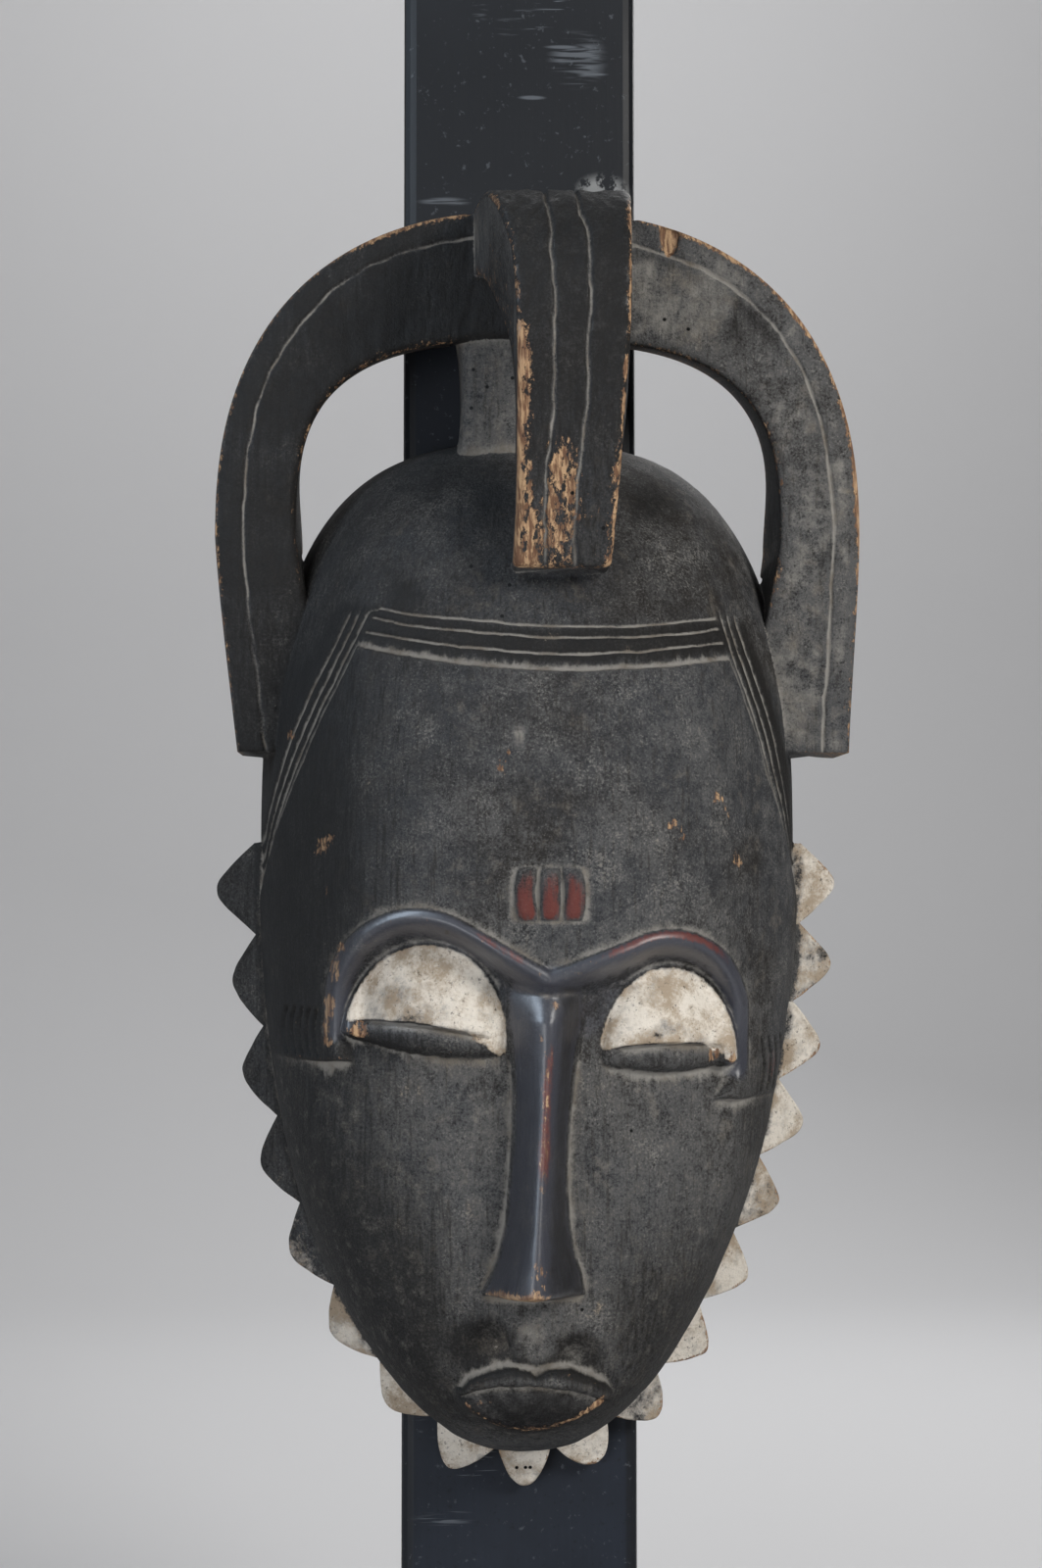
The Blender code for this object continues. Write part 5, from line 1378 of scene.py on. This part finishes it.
def carved_wood():
    """Dark patinated wood with dust in its cuts, pigment, kaolin, polish and bare wood as its layers say."""
    make = Finish("dark patinated wood")
    noises = dict(
        wide=make.noise(16.0, 5.0, 0.6),
        patches=make.noise(60.0, 6.0, 0.68),
        mottles=make.noise(230.0, 5.0, 0.7),
        specks=make.noise(1300.0, 4.0, 0.75),
        grains=make.noise(2300.0, 2.0, 0.6),
        grain=make.noise(1.0, 4.0, 0.65, make.stretched(800.0, 800.0, 70.0)),
        stain=make.noise(85.0, 5.0, 0.65),
        pits=make.noise(760.0, 4.0, 0.75),
        flecks=make.noise(1.0, 4.0, 0.7, make.stretched(760.0, 760.0, 380.0)),
    )
    kaolin, red, bare, dust, polish, soot, hollow = (make.layer(name) for name in (*LAYERS, "hollow"))

    def blend(*amounts, **strengths):
        """The sum of the amounts and of the named noises, each centred on nothing and times its strength."""
        swings = (make.times(make.math("SUBTRACT", noises[name], 0.5), by) for name, by in strengths.items())
        return make.total(*amounts, *swings)

    color = make.lay(WOOD_BROWN, WOOD_BLUE, noises["wide"], 0.40, 0.60)
    for new, amount, low, high, share in (
        (FILM_GREY, blend(make.times(dust, 0.5), patches=0.9, mottles=1.1, specks=1.4), -0.20, 0.32, 0.85),
        (WARM_DUST, blend(mottles=1.0, patches=-1.2), 0.10, 0.32, 0.35),
        (WOOD_BROWN, noises["grain"], 0.54, 0.66, 0.5),
        (DUST, blend(specks=1.0, patches=0.7), 0.07, 0.26, 0.5),
        (SOOT_AND_SHADE, blend(specks=-1.0, mottles=-0.5), 0.06, 0.22, 0.7),
        (DUST, noises["grains"], 0.62, 0.74, 0.4),
    ):
        color = make.lay(color, new, amount, low, high, share)

    polished = make.ramp(blend(polish, mottles=0.7, specks=0.4), 0.30, 0.72)
    # Polished wood, its colour partly painted sheen
    slate = make.lay(POLISHED_AND_SHEEN, FILM_GREY, blend(specks=1.0, patches=1.0), 0.05, 0.30, 0.5)
    color = make.mix(make.times(polished, 0.9), color, slate)
    # Soot and painted shade, as the layer says
    color = make.lay(color, SOOT_AND_SHADE, blend(soot, mottles=0.8, grain=0.9), 0.05, 1.0, 0.88)
    color = make.lay(color, RED_PIGMENT, blend(red, patches=1.3, grain=1.0, specks=0.7), 0.42, 0.92, 0.85)
    gather = blend(make.times(hollow, 1.1), dust, mottles=1.0, specks=0.6)
    dust_color = make.lay(DUST, WARM_DUST, noises["patches"], 0.45, 0.62)
    color = make.lay(color, dust_color, gather, 0.34, 1.10, 0.88)

    white_edge = blend(kaolin, patches=1.4, mottles=1.0, specks=0.4)
    white = make.ramp(white_edge, 0.30, 0.55)
    white_color = make.lay(KAOLIN_THIN, KAOLIN, white_edge, 0.42, 0.86)
    white_color = make.lay(white_color, KAOLIN_STAIN, blend(stain=1.0, specks=0.35), -0.10, 0.14, 0.88)
    white_color = make.lay(white_color, WOOD_BROWN, blend(pits=1.0, mottles=0.5), 0.07, 0.24, 0.75)
    color = make.mix(white, color, white_color)

    sharp = make.most(make.times(hollow, -0.6), -0.1)
    bare_edge = blend(sharp, bare, flecks=2.2, specks=0.8, wide=0.6)
    worn = make.ramp(bare_edge, 0.62, 0.84)
    bare_color = make.lay(BARE_DARK, BARE_WOOD, noises["grain"], 0.40, 0.60)
    bare_color = make.lay(bare_color, BARE_DARK, bare_edge, 0.95, 0.70, 0.6)
    color = make.mix(make.times(worn, 0.92), color, bare_color)

    # Worm holes are only near-black discs in the colour: painted shade for holes the surface does not have
    flattened = make.stretched(1.0, HOLE_FLATTENING, 1.0)
    holes = None
    for x, h, z in WORM_HOLES:
        point = to_metres(x, h, z)[0] * (1.0, HOLE_FLATTENING, 1.0)
        near = make.distance(point, flattened)
        holes = near if holes is None else make.math("MINIMUM", holes, near)
    color = make.lay(color, WORM_HOLE_SHADE, holes, WORM_HOLE_RADIUS * 1.3, WORM_HOLE_RADIUS * 0.8)

    roughness = make.ramp(polished, 0.0, 1.0, 0.78, 0.42)
    roughness = blend(roughness, make.times(make.most(white, worn), 0.2), mottles=0.4)
    height = make.total(
        make.times(noises["mottles"], 0.0007),
        make.times(noises["specks"], 0.0003),
        make.times(noises["grain"], 0.0003),
        make.times(make.ramp(kaolin, 0.3, 0.6), 0.0002),
        make.times(make.ramp(bare, 0.5, 0.9), -0.0004),
    )
    inputs = make.shader.inputs
    make.put(inputs["Base Color"], color)
    make.put(inputs["Roughness"], make.math("ADD", roughness, 0.0, clamp=True))
    make.put(inputs["Coat Weight"], make.times(polished, 0.9))
    make.put(inputs["Normal"], make.bump(height, 1.0, 0.9))
    inputs["Coat Roughness"].default_value = 0.36
    inputs["Specular IOR Level"].default_value = 0.2
    return make.material


# Colours of the post's paint; the darkest also serves as its painted shade
PAINT = (0.0135, 0.019, 0.031)
PAINT_DEEP = (0.008, 0.0115, 0.019)
PAINT_DARK_AND_SHADE = (0.004, 0.005, 0.007)
PAINT_CHIP = (0.26, 0.27, 0.275)
SCUFF = (0.12, 0.135, 0.155)
# Painted shade across the post's rounded corners
CORNER_SHADE_SPAN = (POST_HIGH.x - 0.0046, POST_HIGH.x - 0.0030)
# Painted shade towards the top of the post
TOP_SHADE_SPAN = (0.40, 0.56)

# Marks on the post: x and z of the middle, half length and half height of the patch they lie in
PALE_SCUFFS = ((-0.025, 0.538, 0.010, 0.0020), (-0.024, 0.111, 0.012, 0.0030), (0.019, 0.586, 0.011, 0.011))
SCRATCHES = ((0.004, 0.573, 0.0055, 0.0009), (0.014, 0.590, 0.0070, 0.0008), (0.024, 0.581, 0.0060, 0.0007))
CHIPPED_PATCHES = ((0.027, 0.5415, 0.0105, 0.0075),)


def post_paint(name):
    """Slate blue paint, painted shade at corners and top, fine scratches, pale scuffs and a few chips."""
    make = Finish(name)
    clouds = make.noise(9.0, 5.0, 0.6)
    fine = make.noise(420.0, 4.0, 0.65)
    brush = make.noise(1.0, 3.0, 0.6, make.stretched(500.0, 500.0, 12.0))
    scratch = make.noise(1.0, 2.0, 0.5, make.stretched(60.0, 60.0, 900.0), 0.6)
    chips = make.noise(150.0, 4.0, 0.7)
    x, _, z = make.add("SeparateXYZ", Vector=make.object_place).outputs
    # Painted shade along the post's rounded corners
    corner_shade = make.ramp(make.math("ABSOLUTE", x), *CORNER_SHADE_SPAN, 0.0, 0.75)
    on_post = make.ramp(z, POST_LOW.z - MASK_CLEARANCE, POST_LOW.z)
    color = make.lay(PAINT_DEEP, PAINT, clouds, 0.38, 0.62)
    color = make.lay(color, PAINT_DEEP, brush, 0.35, 0.65, 0.3)
    color = make.lay(color, PAINT_DARK_AND_SHADE, fine, 0.40, 0.30, 0.5)
    # Painted shade towards the top of the post
    color = make.lay(color, PAINT_DARK_AND_SHADE, z, *TOP_SHADE_SPAN, 0.8)
    color = make.mix(make.times(corner_shade, on_post), color, PAINT_DARK_AND_SHADE)

    scuffs = make.times(make.ramp(scratch, 0.60, 0.66), make.ramp(make.noise(26.0, 3.0, 0.6), 0.60, 0.70))
    for mark in PALE_SCUFFS:
        scuffs = make.most(scuffs, make.times(make.oval(*mark), make.ramp(scratch, 0.44, 0.62)))
    for mark in SCRATCHES:
        scuffs = make.most(scuffs, make.oval(*mark))
    color = make.mix(make.times(scuffs, 0.75), color, SCUFF)
    color = make.mix(make.times(make.ramp(fine, 0.62, 0.72), 0.4), color, SCUFF)
    chipped = make.ramp(chips, 0.76, 0.78)
    for mark in CHIPPED_PATCHES:
        chipped = make.most(chipped, make.times(make.oval(*mark), make.ramp(chips, 0.44, 0.52)))
    height = make.total(make.times(brush, 0.5), make.times(fine, 0.5))
    inputs = make.shader.inputs
    make.put(inputs["Base Color"], make.mix(chipped, color, PAINT_CHIP))
    make.put(inputs["Roughness"], make.ramp(clouds, 0.3, 0.7, 0.50, 0.66))
    make.put(inputs["Normal"], make.bump(height, 0.0002, 0.5))
    inputs["Specular IOR Level"].default_value = 0.28
    return make.material


def pale_studio():
    """The plain matt finish of the floor and its rising back."""
    material = bpy.data.materials.new("pale studio")
    material.use_nodes = True
    shader = material.node_tree.nodes["Principled BSDF"]
    shader.inputs["Base Color"].default_value = (0.70, 0.70, 0.71, 1.0)
    shader.inputs["Roughness"].default_value = 0.9
    return material


# Floor: where it starts and bends up, its radius there, its height and half its width
FLOOR_START = -2.4
FLOOR_BEND = 1.15
FLOOR_RADIUS = 0.6
BACKDROP_HEIGHT = 2.6
FLOOR_HALF_WIDTH = 2.6


def make_stage():
    """A floor that curves up into a wall behind the mask: a straight run, a quarter circle and a rise."""
    angle = np.linspace(0.0, math.pi / 2, 25)
    wall = FLOOR_BEND + FLOOR_RADIUS
    y = np.concatenate([[FLOOR_START], FLOOR_BEND + FLOOR_RADIUS * np.sin(angle), [wall]])
    z = np.concatenate([[0.0], FLOOR_RADIUS * (1.0 - np.cos(angle)), [BACKDROP_HEIGHT]])
    x = np.linspace(-FLOOR_HALF_WIDTH, FLOOR_HALF_WIDTH, 9)
    points = np.column_stack([np.tile(x, len(y)), np.repeat(y, len(x)), np.repeat(z, len(x))])
    grid = np.arange(len(points)).reshape(len(y), len(x))
    mesh = bpy.data.meshes.new("floor")
    mesh.from_pydata(points.tolist(), [], grid_faces(grid))
    mesh.materials.append(pale_studio())
    mesh.shade_smooth()
    placed("floor", mesh)


def add_lamp(name, place, target, sides, power, color):
    """A soft lamp of the given width and height that faces the target."""
    data = bpy.data.lights.new(name, "AREA")
    data.shape = "RECTANGLE"
    data.size, data.size_y = sides
    data.energy = power
    data.color = color
    lamp = placed(name, data)
    lamp.location = place
    lamp.visible_camera = False
    lamp.rotation_euler = (Vector(place) - target).to_track_quat("Z", "Y").to_euler()
    return lamp


# Camera: how it looks at the mask, and from how far
VIEW_AZIMUTH = math.radians(-2.0)
VIEW_ELEVATION = math.radians(-2.5)
VIEW_DISTANCE = 0.82862
VIEW_SIDE = -4.0
SENSOR_HEIGHT = 36.0
LENS = 58.5


def make_camera():
    """The camera in front of the mask, a little below the middle of its face."""
    target = Vector(to_metres(VIEW_SIDE, 0.0, 0.0)[0])
    away = Vector((
        math.sin(VIEW_AZIMUTH) * math.cos(VIEW_ELEVATION),
        -math.cos(VIEW_AZIMUTH) * math.cos(VIEW_ELEVATION),
        math.sin(VIEW_ELEVATION),
    ))
    data = bpy.data.cameras.new("camera")
    data.sensor_fit = "VERTICAL"
    data.sensor_height = SENSOR_HEIGHT
    data.lens = LENS
    camera = placed("camera", data)
    camera.location = target + away * VIEW_DISTANCE
    camera.rotation_euler = away.to_track_quat("Z", "Y").to_euler()
    bpy.context.scene.camera = camera


WHITE = (1.0, 1.0, 1.0)


def make_light():
    """Soft studio light: the lamps, and a weak pale surround."""
    face = Vector(to_metres(0.0, 60.0, -20.0)[0])
    add_lamp("key", (0.62, -0.78, 0.74), face, (0.36, 0.36), 9.0, (1.0, 0.98, 0.95))
    add_lamp("fill", (-0.50, -1.0, 0.22), face, (0.5, 0.5), 5.0, (0.95, 0.97, 1.0))
    add_lamp("behind", (0.35, 1.0, 1.0), face, (0.6, 0.6), 6.0, WHITE)
    add_lamp("backdrop", (0.0, 0.75, 1.7), Vector((0.0, 1.7, 0.5)), (1.2, 0.4), 9.0, WHITE)
    # Seen only in the polished wood
    sheen = add_lamp("sheen", (-0.78, -0.46, 0.92), face, (0.42, 0.9), 17.0, (0.72, 0.85, 1.0))
    sheen.visible_diffuse = False
    world = bpy.data.worlds.new("surround")
    world.use_nodes = True
    background = world.node_tree.nodes["Background"]
    background.inputs["Color"].default_value = (0.86, 0.86, 0.88, 1.0)
    background.inputs["Strength"].default_value = 0.06
    bpy.context.scene.world = world
    bpy.context.scene.view_settings.view_transform = "Standard"


def dress_stand():
    """Paints the post and its foot plate, which keep their solids."""
    for node in ("post", "base"):
        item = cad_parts[node]
        item.data.materials.clear()
        item.data.materials.append(post_paint(f"slate blue paint on the {node}"))


make_camera()
make_light()
make_stage()
dress_stand()
make_mask(carved_wood())
